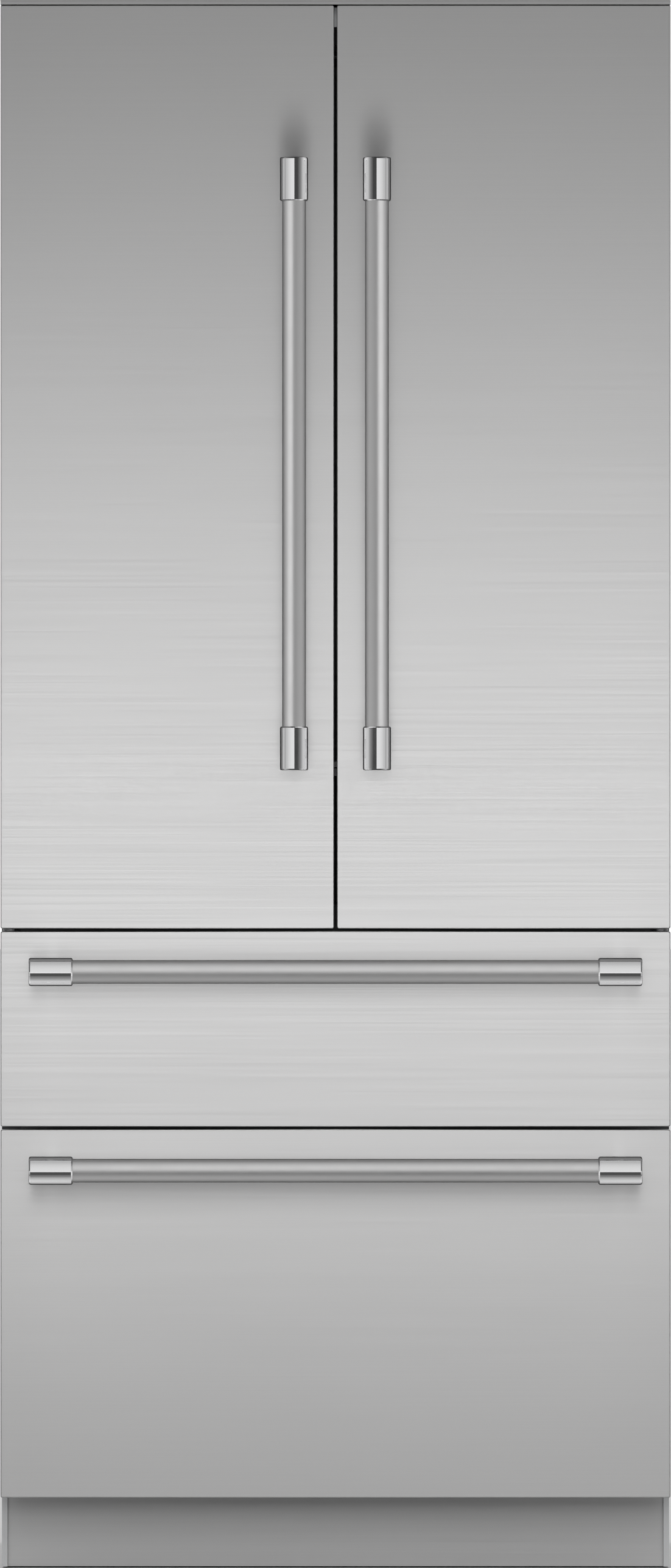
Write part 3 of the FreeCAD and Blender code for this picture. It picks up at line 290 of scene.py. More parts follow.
def softbox(name, low, high, aim, radiance, receivers, axis, stops):
    """A flat lamp between two corners, of a brightness that fades along its width, 0, or height, 1."""
    turn, width_axis, height_axis = aims[aim]
    lamp_data = bpy.data.lights.new(name, "AREA")
    lamp_data.shape = "RECTANGLE"
    lamp_data.size = high[width_axis] - low[width_axis]
    lamp_data.size_y = high[height_axis] - low[height_axis]
    lamp_data.energy = math.pi * lamp_data.size * lamp_data.size_y * radiance
    fade_lamp(lamp_data, axis, stops)
    lamp = bpy.data.objects.new(name, lamp_data)
    lamp.location = (Vector(low) + Vector(high)) / 2
    lamp.rotation_euler = [math.radians(angle) for angle in turn]
    lamp.visible_camera = False
    lamp.light_linking.receiver_collection = receivers
    scene.collection.objects.link(lamp)
    return lamp


def front_lamp(name, half, away, bottom, top, radiance, fade, lit):
    """A softbox in front of the refrigerator, half wide to each side of the middle, at a distance on Y."""
    return softbox(name, (-half, -away, bottom), (half, -away, top), "back", radiance, lit, 1, fade)


print("aims", list(aims))

# %% [markdown]
# ## Lights for the steel
#
# A brushed door shows a blurred picture of the lights in front of it. A strip light stands near the
# refrigerator, brightest at the height of the gap under the doors and fading towards its top and bottom,
# and the doors repeat that fade. The strip is made twice, and no handle blocks the weaker one, so the
# shadows of the handles stay soft.
#
# A lamp's nodes can also read how many times a ray has bounced. The strips weaken for rays that come over
# one more mirror, so the handles show the doors behind them as dark lines. Those lines draw the edges of
# the handles in the photograph. Two weak lamps far out at the sides pick out the round edges of the doors.

# %% Steel strips
handle_names = ("left", "right", "upper", "lower")
front_names = ("left_door", "right_door", "upper_drawer", "lower_drawer")
every_handle = [nodes[f"{name}_handle_{part}"] for name in handle_names for part in ("bar", "ends")]
steel_fronts = [nodes[name + "_panel"] for name in front_names]
steel_group = linked_group("steel_fronts", steel_fronts)

strip_bottom = 0.35
strip_top = 2.75
strip_radiance = 2.74
strip_shares = {"steel_strip": 0.72, "soft_steel_strip": 0.28}
strip_fade = [(0.0, 0.0), (0.11, 0.98), (0.33, 0.96), (0.52, 0.12), (1.0, 0.0)]
full_depth = 2.0  # up to this ray depth a strip keeps all its light
mirrored_share = 0.4  # what is left of it over one more mirror

strips = {}
for name, share in strip_shares.items():
    strip = front_lamp(name, half=0.75, away=1.37, bottom=strip_bottom, top=strip_top,
                       radiance=strip_radiance * share, fade=strip_fade, lit=steel_group)
    tree = strip.data.node_tree
    bounces = add_node(tree, "LightPath").outputs["Ray Depth"]
    weakened = map_range(tree, bounces, full_depth, full_depth + 1.0, 1.0, mirrored_share)
    tree.links.new(weakened, tree.nodes["Emission"].inputs["Strength"])
    strips[name] = strip
open_handles = linked_group("strip_blockers", every_handle, leave_out=True)
strips["soft_steel_strip"].light_linking.blocker_collection = open_handles

edge_out = 4.0
edge_front = -2.6
edge_back = -0.5
edge_radiance = 0.6
for side, label, aim in ((-1, "left", "right"), (1, "right", "left")):
    softbox(label + "_edge_light", (side * edge_out, edge_front, strip_bottom),
            (side * edge_out, edge_back, strip_top), aim, edge_radiance, steel_group, 1, strip_fade)
print("strips", list(strips))

# %% [markdown]
# ## Lights for the rest of the front
#
# A broad softbox lights every piece but the brushed fronts, the handles, the top trim and the kick plate,
# which have lamps of their own, and the floor, which has the dome. The kick plate stands in the shadow of
# the lower drawer, so its softbox hangs high, and the shadow fades down the plate as it does in the
# photograph. Three more lamps light the narrow top trim, the front edges of the cabinet sides beside the
# kick plate, and the sheet behind the upper end of the gap between the doors.

# %% Front lamps
even = [(0.0, 1.0), (1.0, 1.0)]
rising = [(0.0, 0.5), (1.0, 1.0)]
swelling = [(0.0, 0.6), (0.5, 1.0), (1.0, 0.6)]

lit_apart = every_handle + steel_fronts + [nodes["top_trim"], nodes["kick_plate"], floor]
front_lamp("room_softbox", half=2.0, away=3.0, bottom=0.2, top=2.6, radiance=0.8, fade=swelling,
           lit=linked_group("room_set", lit_apart, leave_out=True))
front_lamp("kick_softbox", half=2.0, away=3.0, bottom=0.5, top=2.9, radiance=1.95, fade=rising,
           lit=linked_group("kick_set", [nodes["kick_plate"], nodes["side_panels"]]))
front_lamp("trim_light", half=2.0, away=6.0, bottom=1.9, top=2.9, radiance=4.0, fade=even,
           lit=linked_group("trim_set", [nodes["top_trim"]]))
front_lamp("flange_light", half=2.0, away=3.0, bottom=0.2, top=1.2, radiance=1.3, fade=rising,
           lit=linked_group("flange_set", [nodes["side_panels"]]))
front_lamp("gap_light", half=0.12, away=3.0, bottom=1.9, top=2.7, radiance=8.0, fade=even,
           lit=linked_group("gap_set", [nodes["top_panel"]]))
print("left out by the room softbox", len(lit_apart))

# %% [markdown]
# ## Lights for the handles
#
# Round bars are different. Each one squeezes the whole studio into a narrow strip, so a product
# photographer lights every handle by itself. A large card stands on one side, with its sharp edge near the
# middle of the bar, and a small card close by opens up the dark side.
#
# The polished ends and the satin bar get cards of their own. For each of them, the next cell says how many
# degrees past the middle the large card's sharp edge stands, how the large card fades towards that edge,
# and how the small card fades from its front to its back.

# %% How the cards fade
handle_looks = {
    "handle_ends": {
        "upright_edge": 3,
        "level_edge": 10,
        "upright": [(0.0, 0.16), (0.48, 0.44), (0.65, 0.66), (0.77, 0.87), (0.88, 0.98), (1.0, 1.0)],
        "level": [(0.0, 0.59), (0.48, 0.73), (0.65, 0.84), (0.77, 0.95), (0.88, 1.0), (1.0, 1.0)],
        "near_upright": [(0.0, 0.05), (0.31, 0.08), (0.50, 0.20), (0.58, 0.34), (0.67, 0.58), (0.76, 0.58),
                         (0.84, 0.25), (0.90, 0.0)],
        "near_level": [(0.0, 0.08), (0.22, 0.18), (0.37, 0.32), (0.51, 0.36), (0.64, 0.54), (0.76, 0.54),
                       (0.84, 0.20), (0.90, 0.0)],
    },
    "handle_bar": {
        "upright_edge": -12,
        "level_edge": -3,
        "upright": [(0.0, 0.45), (0.48, 0.75), (0.65, 0.90), (1.0, 1.0)],
        "level": [(0.0, 0.76), (0.48, 0.84), (0.65, 0.90), (1.0, 1.0)],
        "near_upright": [(0.0, 0.09), (0.40, 0.17), (0.60, 0.20), (0.72, 0.20), (0.80, 0.06), (0.86, 0.0)],
        "near_level": [(0.0, 0.27), (0.37, 0.33), (0.56, 0.27), (0.70, 0.13), (0.80, 0.04), (0.86, 0.0)],
    },
}


def reverse(stops):
    """The same fade, from the other end."""
    return [(1.0 - place, strength) for place, strength in reversed(stops)]


print("looks for", list(handle_looks))

# %% [markdown]
# The door handles stand upright. Their large cards stand to the outer sides, so the dark sides, which the
# small cards open up, face each other.

# %% Door handle cards
bar_low, bar_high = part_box("left_handle_bar")
handle_y = (bar_low.y + bar_high.y) / 2

card_distance = 2.0
card_y = handle_y - card_distance
card_angle = 74  # degrees to the side that a large card covers
card_reach = card_distance * math.tan(math.radians(card_angle))
card_side = 2.0  # how far a card goes past the ends of its handle
card_radiance = 0.86
near_gap = 0.052  # a handle's axis to its small card
near_front = handle_y - 0.090
near_back = handle_y + 0.048
near_radiance = 1.0


def light_upright(name, kind, side):
    """Lights a piece of a door handle from its outer side, -1 for left, and opens up its inner side."""
    piece = nodes[name + "_" + kind]
    low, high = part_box(piece.name)
    middle = (low + high) / 2
    group = linked_group(piece.name + "_set", [piece])
    look = handle_looks[kind]
    edge = card_distance * math.tan(math.radians(look["upright_edge"]))
    x0, x1 = sorted((middle.x + side * card_reach, middle.x - side * edge))
    softbox(piece.name + "_card", (x0, card_y, low.z - card_side), (x1, card_y, high.z + card_side), "back",
            card_radiance, group, 0, look["upright"] if side < 0 else reverse(look["upright"]))
    x = middle.x - side * near_gap
    softbox(piece.name + "_near_card", (x, near_front, low.z - near_gap), (x, near_back, high.z + near_gap),
            "left" if side < 0 else "right", near_radiance, group, 0,
            look["near_upright"] if side < 0 else reverse(look["near_upright"]))


for kind in handle_looks:
    light_upright("left", kind, -1)
    light_upright("right", kind, 1)
print("cards reach", round(card_reach, 2), "m to the side")

# %% [markdown]
# The drawer handles lie level, so their large cards stand above the axis and their small cards lie below.
# Another lamp overhead lights the tops. Two weak lamps in front keep the middle of the bars and the ends
# of the door handles from going black.

# %% Drawer handle cards
overhead_rise = 3.0
overhead_depth = 0.9
overhead_radiance = 0.58
overhead_fade = [(0.0, 1.0), (1.0, 0.9)]


def light_level(name, kind):
    """Lights a piece of a drawer handle from above and opens up its lower side."""
    piece = nodes[name + "_" + kind]
    low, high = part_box(piece.name)
    middle = (low + high) / 2
    group = linked_group(piece.name + "_set", [piece])
    look = handle_looks[kind]
    edge = card_distance * math.tan(math.radians(look["level_edge"]))
    x0 = low.x - card_side
    x1 = high.x + card_side
    softbox(piece.name + "_card", (x0, card_y, middle.z - edge), (x1, card_y, middle.z + card_reach), "back",
            card_radiance, group, 1, reverse(look["level"]))
    z = middle.z - near_gap
    softbox(piece.name + "_near_card", (low.x - near_gap, near_front, z), (high.x + near_gap, near_back, z),
            "up", near_radiance, group, 1, reverse(look["near_level"]))
    z = middle.z + overhead_rise
    softbox(piece.name + "_overhead", (x0, face_y - overhead_depth, z), (x1, face_y, z), "down",
            overhead_radiance, group, 1, overhead_fade)


for kind in handle_looks:
    light_level("upper", kind)
    light_level("lower", kind)

bars = [nodes[name + "_handle_bar"] for name in handle_names]
door_ends = [nodes[name + "_handle_ends"] for name in ("left", "right")]
for name, radiance, pieces in (("bar_fill", 0.2, bars), ("end_fill", 0.03, door_ends)):
    front_lamp(name, half=2.5, away=2.8, bottom=-0.5, top=3.5, radiance=radiance, fade=even,
               lit=linked_group(name + "_set", pieces))
print("lamps", len(bpy.data.lights))

# %% [markdown]
# ## Surface textures
#
# Four small textures cover every finish on the refrigerator. Each one is a node group: it takes a place on
# the piece, in metres, and puts out a tone, a grain and a bumped normal. The materials then decide what
# those do. Pictures of real surfaces would serve too, but noise doesn't repeat and needs no unwrapping.

# %% Group helpers
def start_group(name, *inputs):
    """A group with a place, its own named inputs, and the three outputs."""
    tree = bpy.data.node_groups.new(name, "ShaderNodeTree")
    tree.interface.new_socket("Place", in_out="INPUT", socket_type="NodeSocketVector")
    for label, kind in inputs:
        tree.interface.new_socket(label, in_out="INPUT", socket_type="NodeSocket" + kind)
    for label, kind in (("Tone", "Float"), ("Grain", "Float"), ("Normal", "Vector")):
        tree.interface.new_socket(label, in_out="OUTPUT", socket_type="NodeSocket" + kind)
    return tree, tree.nodes.new("NodeGroupInput").outputs, tree.nodes.new("NodeGroupOutput").inputs


def noise(tree, place, scale, detail=2.0):
    """Noise from 0 to 1, with about scale spots in a metre."""
    node = add_node(tree, "TexNoise", Scale=scale, Detail=detail)
    tree.links.new(place, node.inputs["Vector"])
    return node.outputs["Fac"]


def bumped(tree, height, depth):
    """A normal bumped by a height from 0 to 1, depth metres deep."""
    node = add_node(tree, "Bump", Strength=1.0)
    tree.links.new(height, node.inputs["Height"])
    tree.links.new(depth, node.inputs["Distance"])
    return node.outputs["Normal"]


def blend_values(tree, first, second, share):
    """Share of the second value, and the rest of the first."""
    node = add_node(tree, "Mix", data_type="FLOAT", Factor=share)
    tree.links.new(first, node.inputs["A"])
    tree.links.new(second, node.inputs["B"])
    return node.outputs["Result"]


print("group helpers ready")

# %% [markdown]
# Brushed steel is full of fine lines from an abrasive belt. Noise that is squeezed across the lines draws
# them, and slow clouds are mixed into the tone, because a real sheet is never quite even.

# %% Brushed
brushed, given, out = start_group("Brushed", ("Lines", "Vector"), ("Depth", "Float"))
drawn = add_node(brushed, "VectorMath", operation="MULTIPLY")
brushed.links.new(given["Place"], drawn.inputs[0])
brushed.links.new(given["Lines"], drawn.inputs[1])
line = noise(brushed, drawn.outputs["Vector"], scale=1.0, detail=5.0)
cloud = noise(brushed, given["Place"], scale=2.5)
brushed.links.new(blend_values(brushed, line, cloud, share=0.35), out["Tone"])
brushed.links.new(line, out["Grain"])
brushed.links.new(bumped(brushed, line, given["Depth"]), out["Normal"])
print("group", brushed.name)

# %% [markdown]
# Plastic comes out of its mould with a faint stipple, and sprayed paint dries with a soft ripple that
# painters call orange peel. Both are plain noise, fine for the stipple and coarser for the ripple.

# %% Moulded and sprayed
moulded, given, out = start_group("Moulded", ("Depth", "Float"))
stipple = noise(moulded, given["Place"], scale=900.0)
moulded.links.new(noise(moulded, given["Place"], scale=9.0, detail=4.0), out["Tone"])
moulded.links.new(noise(moulded, given["Place"], scale=40.0), out["Grain"])
moulded.links.new(bumped(moulded, stipple, given["Depth"]), out["Normal"])

sprayed, given, out = start_group("Sprayed", ("Depth", "Float"))
ripple = noise(sprayed, given["Place"], scale=260.0)
sprayed.links.new(noise(sprayed, given["Place"], scale=3.0, detail=3.0), out["Tone"])
sprayed.links.new(noise(sprayed, given["Place"], scale=30.0), out["Grain"])
sprayed.links.new(bumped(sprayed, ripple, given["Depth"]), out["Normal"])
print("groups", moulded.name, sprayed.name)

# %% [markdown]
# Galvanised sheet is covered with flat zinc crystals, called spangle. A Voronoi texture gives each crystal
# a random colour, and the red, green and blue of that colour serve as its tone, grain and height.

# %% Spangle
spangle, given, out = start_group("Spangle", ("Flakes", "Float"), ("Depth", "Float"))
flakes = add_node(spangle, "TexVoronoi", Randomness=1.0)
spangle.links.new(given["Place"], flakes.inputs["Vector"])
spangle.links.new(given["Flakes"], flakes.inputs["Scale"])
flake = add_node(spangle, "SeparateColor")
spangle.links.new(flakes.outputs["Color"], flake.inputs["Color"])
spangle.links.new(flake.outputs["Red"], out["Tone"])
spangle.links.new(flake.outputs["Green"], out["Grain"])
spangle.links.new(bumped(spangle, flake.outputs["Blue"], given["Depth"]), out["Normal"])
print("group", spangle.name)

# %% [markdown]
# ## Finishes
#
# A finish joins one texture to a shader. The tone runs between two near colours, the grain runs between two
# near roughnesses, and the normal carries the bump. Values that stay the same all over a piece, such as how
# metallic it is, go straight on the shader. The assembly names a slot for each piece, and the finishes are
# kept under the names of those slots.

# %% Finish helper
micron = 1e-6
grain_low = 0.25  # most of a grain's values lie between these two
grain_high = 0.75
finishes = {}


def finish(slot, name, texture, dark, light, smooth, rough, inputs, **constants):
    """A material from a texture group, two colours and two roughnesses; constants fill shader sockets."""
    material, tree, shader = new_material(name)
    skin = add_node(tree, "Group", node_tree=texture)
    tree.links.new(add_node(tree, "TexCoord").outputs["Object"], skin.inputs["Place"])
    for label, value in inputs.items():
        skin.inputs[label].default_value = value
    tree.links.new(mix_colours(tree, skin.outputs["Tone"], dark, light), shader.inputs["Base Color"])
    roughness = map_range(tree, skin.outputs["Grain"], grain_low, grain_high, smooth, rough)
    tree.links.new(roughness, shader.inputs["Roughness"])
    tree.links.new(skin.outputs["Normal"], shader.inputs["Normal"])
    for label, value in constants.items():
        shader.inputs[label.replace("_", " ")].default_value = value
    finishes[slot] = material


print("a micron is", micron, "m")

# %% [markdown]
# ### Brushed steel
#
# The doors, drawers, kick plate and top trim are stainless steel with level brush lines. Brushing spreads
# a reflection across its lines and keeps it sharp along them, which the shader calls anisotropic. The
# tangent runs round the upright axis, which is level on the doors, and a quarter turn points the spread up
# and down. On the trim the tangent runs round the level axis, which points the spread the same way.

# %% Brushed finishes
level_lines = (3.0, 900.0, 900.0)  # streaks in a metre along X, Y and Z
quarter_turn = 0.25
brushing = {"Lines": level_lines, "Depth": 4 * micron}
front_greys = ((0.59, 0.588, 0.588), (0.67, 0.668, 0.667))


def grain_direction(slot, axis):
    """Runs the tangent of a finish round an axis of the piece."""
    tree = finishes[slot].node_tree
    tangent = add_node(tree, "Tangent", direction_type="RADIAL", axis=axis)
    tree.links.new(tangent.outputs["Tangent"], tree.nodes["Principled BSDF"].inputs["Tangent"])


finish("steel_front", "brushed_front", brushed, *front_greys, 0.41, 0.48, brushing,
       Metallic=1.0, Anisotropic=0.97, Anisotropic_Rotation=quarter_turn)
finish("kick_steel", "brushed_kick", brushed, (0.606, 0.605, 0.604), (0.686, 0.685, 0.684), 0.36, 0.44,
       brushing, Metallic=1.0, Anisotropic=0.5, Anisotropic_Rotation=quarter_turn)
finish("trim_steel", "brushed_trim", brushed, *front_greys, 0.41, 0.48, brushing,
       Metallic=1.0, Anisotropic=0.97)
for slot, axis in (("steel_front", "Z"), ("kick_steel", "Z"), ("trim_steel", "X")):
    grain_direction(slot, axis)
finish("shelf_steel", "satin_shelf_steel", brushed, (0.58, 0.585, 0.59), (0.66, 0.665, 0.67), 0.26, 0.36,
       {"Lines": level_lines, "Depth": 3 * micron}, Metallic=1.0)
print("brushed finishes", list(finishes))

# %% [markdown]
# ### Handles
#
# Each handle is a satin bar between two polished ends. The satin scatters the light evenly, so it takes the
# soft ripple without lines. On a metal, the shader's Specular Tint colours what is mirrored at a grazing
# angle, and a dark tint draws the thin dark outline that round bars have in the photograph.

# %% Handle finishes
dark_edges = (0.05, 0.05, 0.05, 1.0)
finish("satin_bar", "satin_bar", sprayed, (0.566, 0.563, 0.563), (0.626, 0.623, 0.623), 0.40, 0.46,
       {"Depth": 2 * micron}, Metallic=1.0, Specular_Tint=dark_edges)
finish("polished_ferrule", "polished_ferrule", sprayed, (0.74, 0.74, 0.745), (0.78, 0.78, 0.785), 0.04, 0.07,
       {"Depth": 0.2 * micron}, Metallic=1.0, Specular_Tint=dark_edges)
print("dark edges", dark_edges[0])

# %% [markdown]
# ### Sheet metal and plated parts
#
# Behind the front, the cabinet has a metallic paint on its sides and top, and galvanised sheet at the back
# and below. Slides, shelf tracks and screws are plated, the hinges are dark steel, and the cold coil is bare
# aluminium. The spangle serves for all but the paint: large flakes make galvanised sheet, and small ones
# make the crystals of a plated part.

# %% Sheet and plated finishes
plating = {"Flakes": 420.0, "Depth": 1 * micron}
finish("cabinet_steel", "cabinet_sheet", sprayed, (0.47, 0.475, 0.48), (0.53, 0.535, 0.54), 0.36, 0.43,
       {"Depth": 1 * micron}, Metallic=0.7)
finish("zinc_sheet", "galvanised_sheet", spangle, (0.57, 0.58, 0.59), (0.66, 0.67, 0.68), 0.34, 0.46,
       {"Flakes": 90.0, "Depth": 3 * micron}, Metallic=0.9)
finish("bright_steel", "plated_steel", spangle, (0.60, 0.60, 0.60), (0.66, 0.66, 0.65), 0.22, 0.34,
       plating, Metallic=1.0)
finish("hinge_steel", "dark_hinge_steel", spangle, (0.13, 0.13, 0.135), (0.18, 0.18, 0.185), 0.34, 0.46,
       plating, Metallic=1.0)
finish("coil_aluminium", "coil_aluminium", spangle, (0.70, 0.71, 0.72), (0.80, 0.81, 0.82), 0.30, 0.44,
       {"Flakes": 300.0, "Depth": 2 * micron}, Metallic=1.0)
print("finishes so far", len(finishes))

# %% [markdown]
# ### Plastic, rubber, foam and black paint
#
# The liners are white sheet plastic, the seals dark vinyl, and the walls are filled with yellow foam, whose
# texture is many times deeper. The compressor and the warm coil are painted black to give off their heat.

# %% Plastic and paint finishes
finish("white_liner", "white_liner", moulded, (0.80, 0.81, 0.81), (0.86, 0.87, 0.87), 0.30, 0.42,
       {"Depth": 6 * micron})
finish("gasket_rubber", "gasket_vinyl", moulded, (0.10, 0.10, 0.105), (0.15, 0.15, 0.155), 0.50, 0.64,
       {"Depth": 12 * micron})
finish("foam", "insulating_foam", moulded, (0.80, 0.70, 0.46), (0.88, 0.79, 0.56), 0.80, 0.95,
       {"Depth": 300 * micron})
finish("dark_plastic", "dark_moulding", moulded, (0.030, 0.031, 0.033), (0.050, 0.051, 0.054), 0.42, 0.56,
       {"Depth": 14 * micron})
finish("foot_plastic", "foot_plastic", moulded, (0.040, 0.040, 0.042), (0.062, 0.062, 0.065), 0.50, 0.66,
       {"Depth": 18 * micron})
finish("compressor_paint", "compressor_paint", sprayed, (0.016, 0.017, 0.018), (0.030, 0.031, 0.033),
       0.28, 0.42, {"Depth": 30 * micron})
finish("coil_steel", "coil_steel", sprayed, (0.035, 0.036, 0.038), (0.060, 0.061, 0.064), 0.40, 0.55,
       {"Depth": 20 * micron})
print("finishes so far", len(finishes))

# %% [markdown]
# ### Glass and clear plastic
#
# Shelves are glass with a green cast, bins are clear plastic, and the lamp covers are milky. Transmission
# lets light through. A part of the sheet is left open with Alpha as well, so that the food space behind
# several clear walls stays bright.

# %% Clear finishes
finish("shelf_glass", "shelf_glass", sprayed, (0.86, 0.94, 0.91), (0.90, 0.97, 0.94), 0.01, 0.03,
       {"Depth": 0.5 * micron}, Transmission_Weight=0.92, IOR=1.5, Alpha=0.55)
finish("clear_plastic", "clear_bin", moulded, (0.90, 0.93, 0.95), (0.94, 0.97, 0.98), 0.05, 0.12,
       {"Depth": 3 * micron}, Transmission_Weight=0.85, IOR=1.46, Alpha=0.45)
finish("light_diffuser", "light_diffuser", moulded, (0.86, 0.87, 0.88), (0.92, 0.93, 0.94), 0.40, 0.55,
       {"Depth": 5 * micron}, Transmission_Weight=0.25)
print("finishes", len(finishes))

# %% [markdown]
# ### Painted gap shade
#
# In the photograph the gaps between the doors and drawers are black. What they look onto is the front edge
# of the cabinet and its liners, which lies in the shade of those narrow gaps, so that shade is painted on
# the edge as a dark colour. A strip could be laid over it, but it is simpler to let the finish itself turn
# dark
# there: a place on the piece that is close to its front and above the kick plate gets the painted shade.

# %% Painted gap shade
gap_shade_depth = 0.0012
# This dark colour is painted shade for the narrow gaps between the fronts.
painted_gap_shade_colour = (0.035, 0.035, 0.037)


def paint_gap_shade(material, name, piece, bottom):
    """A copy of a finish with painted shade on the front edge of a piece, above a height."""
    gap_shaded_copy = material.copy()
    gap_shaded_copy.name = name
    tree = gap_shaded_copy.node_tree
    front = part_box(piece)[0].y
    axes = split_axes(tree, add_node(tree, "TexCoord").outputs["Object"])
    close = map_range(tree, axes["Y"], front + gap_shade_depth / 2, front + gap_shade_depth, 1.0, 0.0)
    above = map_range(tree, axes["Z"], bottom, bottom + gap_shade_depth, 0.0, 1.0)
    base = tree.nodes["Principled BSDF"].inputs["Base Color"]
    # Painted shade: the front edge above the kick plate turns dark.
    in_gap_shade = calculated(tree, "MULTIPLY", close, above)
    tree.links.new(mix_colours(tree, in_gap_shade, base.links[0].from_socket, painted_gap_shade_colour), base)
    return gap_shaded_copy


kick_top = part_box("kick_plate")[1].z
liner_gap_shaded = paint_gap_shade(finishes["white_liner"], "liner_with_painted_gap_shade", "fridge_liner", kick_top)
side_gap_shaded = paint_gap_shade(finishes["cabinet_steel"], "cabinet_with_painted_gap_shade", "side_panels", kick_top)
print("rims are dark for", gap_shade_depth * 1000, "mm")

# %% [markdown]
# ### Give every piece its finish
#
# The record of the assembly lists each piece with its slot, so one loop dresses them all. The pieces with
# painted shade on their front edge and the top trim then get their own version.

# %% Dress the assembly
for entry in frame["record"]["subparts"]:
    piece = nodes[entry["node"]]
    piece.data.materials.clear()
    piece.data.materials.append(finishes[entry["material_slot"]])
# The liners and the cabinet sides take the copies with painted shade on their front edges.
for label in ("fridge_liner", "drawer_liner", "freezer_liner"):
    nodes[label].data.materials[0] = liner_gap_shaded
nodes["side_panels"].data.materials[0] = side_gap_shaded
nodes["top_trim"].data.materials[0] = finishes["trim_steel"]

# %% [markdown]
# ## Door seals
#
# A refrigerator seal is a soft vinyl bellows with a magnet strip in its nose. When the door comes close, the
# magnet pulls the nose onto the steel rim and the folds stretch. The assembly holds a plain bar in each
# seal's place, so the seals made here stand in for those four bars.
#
# The section is drawn once, in millimetres, as the distance in from the seal's outer edge and the height
# above the door. It then runs round a rectangle, with mitred corners like those of a real seal. A curve
# with a bevel could carry the section too, but plain points keep the corners exact.

# %% Seal helpers
mm = 0.001


def add_piece(name, vertices, faces, slot, body):
    """Makes a mesh from vertices and faces, gives it a finish and lets it ride on a body of the assembly."""
    mesh = bpy.data.meshes.new(name)
    mesh.from_pydata(vertices, [], faces)
    shaped = bmesh.new()
    shaped.from_mesh(mesh)
    bmesh.ops.recalc_face_normals(shaped, faces=shaped.faces)
    shaped.to_mesh(mesh)
    shaped.free()
    mesh.materials.append(finishes[slot])
    piece = bpy.data.objects.new(name, mesh)
    scene.collection.objects.link(piece)
    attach(piece, body)
    return piece


def framed(low, high, section):
    """Runs a section round the rectangle between two corners of a box, in the plane of the door."""
    vertices = []
    for right, top in ((False, False), (True, False), (True, True), (False, True)):
        for inset, height in section:
            x = high.x - inset * mm if right else low.x + inset * mm
            z = high.z - inset * mm if top else low.z + inset * mm
            vertices.append((x, low.y + height * mm, z))
    count = len(section)
    faces = []
    for corner in range(4):
        here = corner * count
        there = (corner + 1) % 4 * count
        for point in range(count):
            after = (point + 1) % count
            faces.append((here + point, here + after, there + after, there + point))
    return vertices, faces


print("seal helpers ready")

# %% Bellows seals
seal_width = 14.0
one_side = [(1.0, 0.0), (1.0, 1.2), (4.6, 2.2), (1.2, 4.1), (4.6, 5.9), (0.8, 6.8), (0.2, 8.0), (0.6, 9.1),
            (1.8, 9.7)]
seal_section = one_side + [(seal_width - inset, height) for inset, height in reversed(one_side)]

for body in front_names:
    low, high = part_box(body + "_gasket")
    seal = add_piece(body + "_bellows_seal", *framed(low, high, seal_section), "gasket_rubber", body)
    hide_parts(body + "_gasket")
print("seal section", len(seal_section), "points")

# %% [markdown]
# ## Trim inside the fridge
#
# Glass shelves get a rounded nose on their front edge, the crispers a pull lip, and the door bins a steel
# band that keeps bottles from tipping out. All three are one section swept along a line, so one helper
# serves them: it takes the points of the line, the direction that faces outward at each point, and the
# section as distance out and height in millimetres. A curve could carry the section too, but with plain
# points each corner comes out where it is meant to be.

# %% Sweeping helpers
def swept(line, section):
    """Sweeps a section of (distance out, height) along (point, outward) pairs, with closed ends."""
    vertices = []
    for point, outward in line:
        vertices += [point + outward * out * mm + Vector((0, 0, up * mm)) for out, up in section]
    count = len(section)
    last = (len(line) - 1) * count
    faces = [tuple(range(count)), tuple(range(last, last + count))]
    for here in range(0, last, count):
        for point in range(count):
            after = (point + 1) % count
            faces.append((here + point, here + after, here + count + after, here + count + point))
    return vertices, faces


def merged(shapes):
    """Several shapes as the vertices and faces of one mesh."""
    vertices = []
    faces = []
    for more_vertices, more_faces in shapes:
        start = len(vertices)
        vertices += more_vertices
        faces += [tuple(start + index for index in face) for face in more_faces]
    return vertices, faces


def level_line(x0, x1, y, z):
    """A line from left to right that faces the front."""
    forward = Vector((0, -1, 0))
    return [(Vector((x, y, z)), forward) for x in (x0, x1)]


print("sweeping helpers ready")

# %% [markdown]
# The lowest shelf covers the crispers over the full width. Above it are three rows of half-width shelves,
# and the rows are spread evenly up to the top of the shelf frames.

# %% Shelf noses
shelf_low, shelf_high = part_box("shelf_frames")
crisper_cover = 0.016
half_split = 0.008  # the middle to a half-width shelf
half_rows = 3
shelf_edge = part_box("right_crisper")[1].x
cover_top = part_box("right_crisper")[1].z + crisper_cover
row_pitch = (shelf_high.z - cover_top) / half_rows

nose = [(0.1, -12.0), (2.2, -11.6), (3.6, -9.6), (3.6, -2.4), (2.2, -0.4), (0.1, 0.0)]
shelf_noses = [swept(level_line(shelf_low.x, shelf_high.x, shelf_low.y, cover_top), nose)]
for row in range(1, half_rows + 1):
    for x0, x1 in ((-shelf_edge, -half_split), (half_split, shelf_edge)):
        shelf_noses.append(swept(level_line(x0, x1, shelf_low.y, cover_top + row * row_pitch), nose))
add_piece("shelf_noses", *merged(shelf_noses), "bright_steel", "cabinet")
print("noses", len(shelf_noses))

# %% [markdown]
# A crisper's lip curls forward and up, so that fingers can hook under it. It takes up the middle part of
# the crisper's front and rides on the crisper.

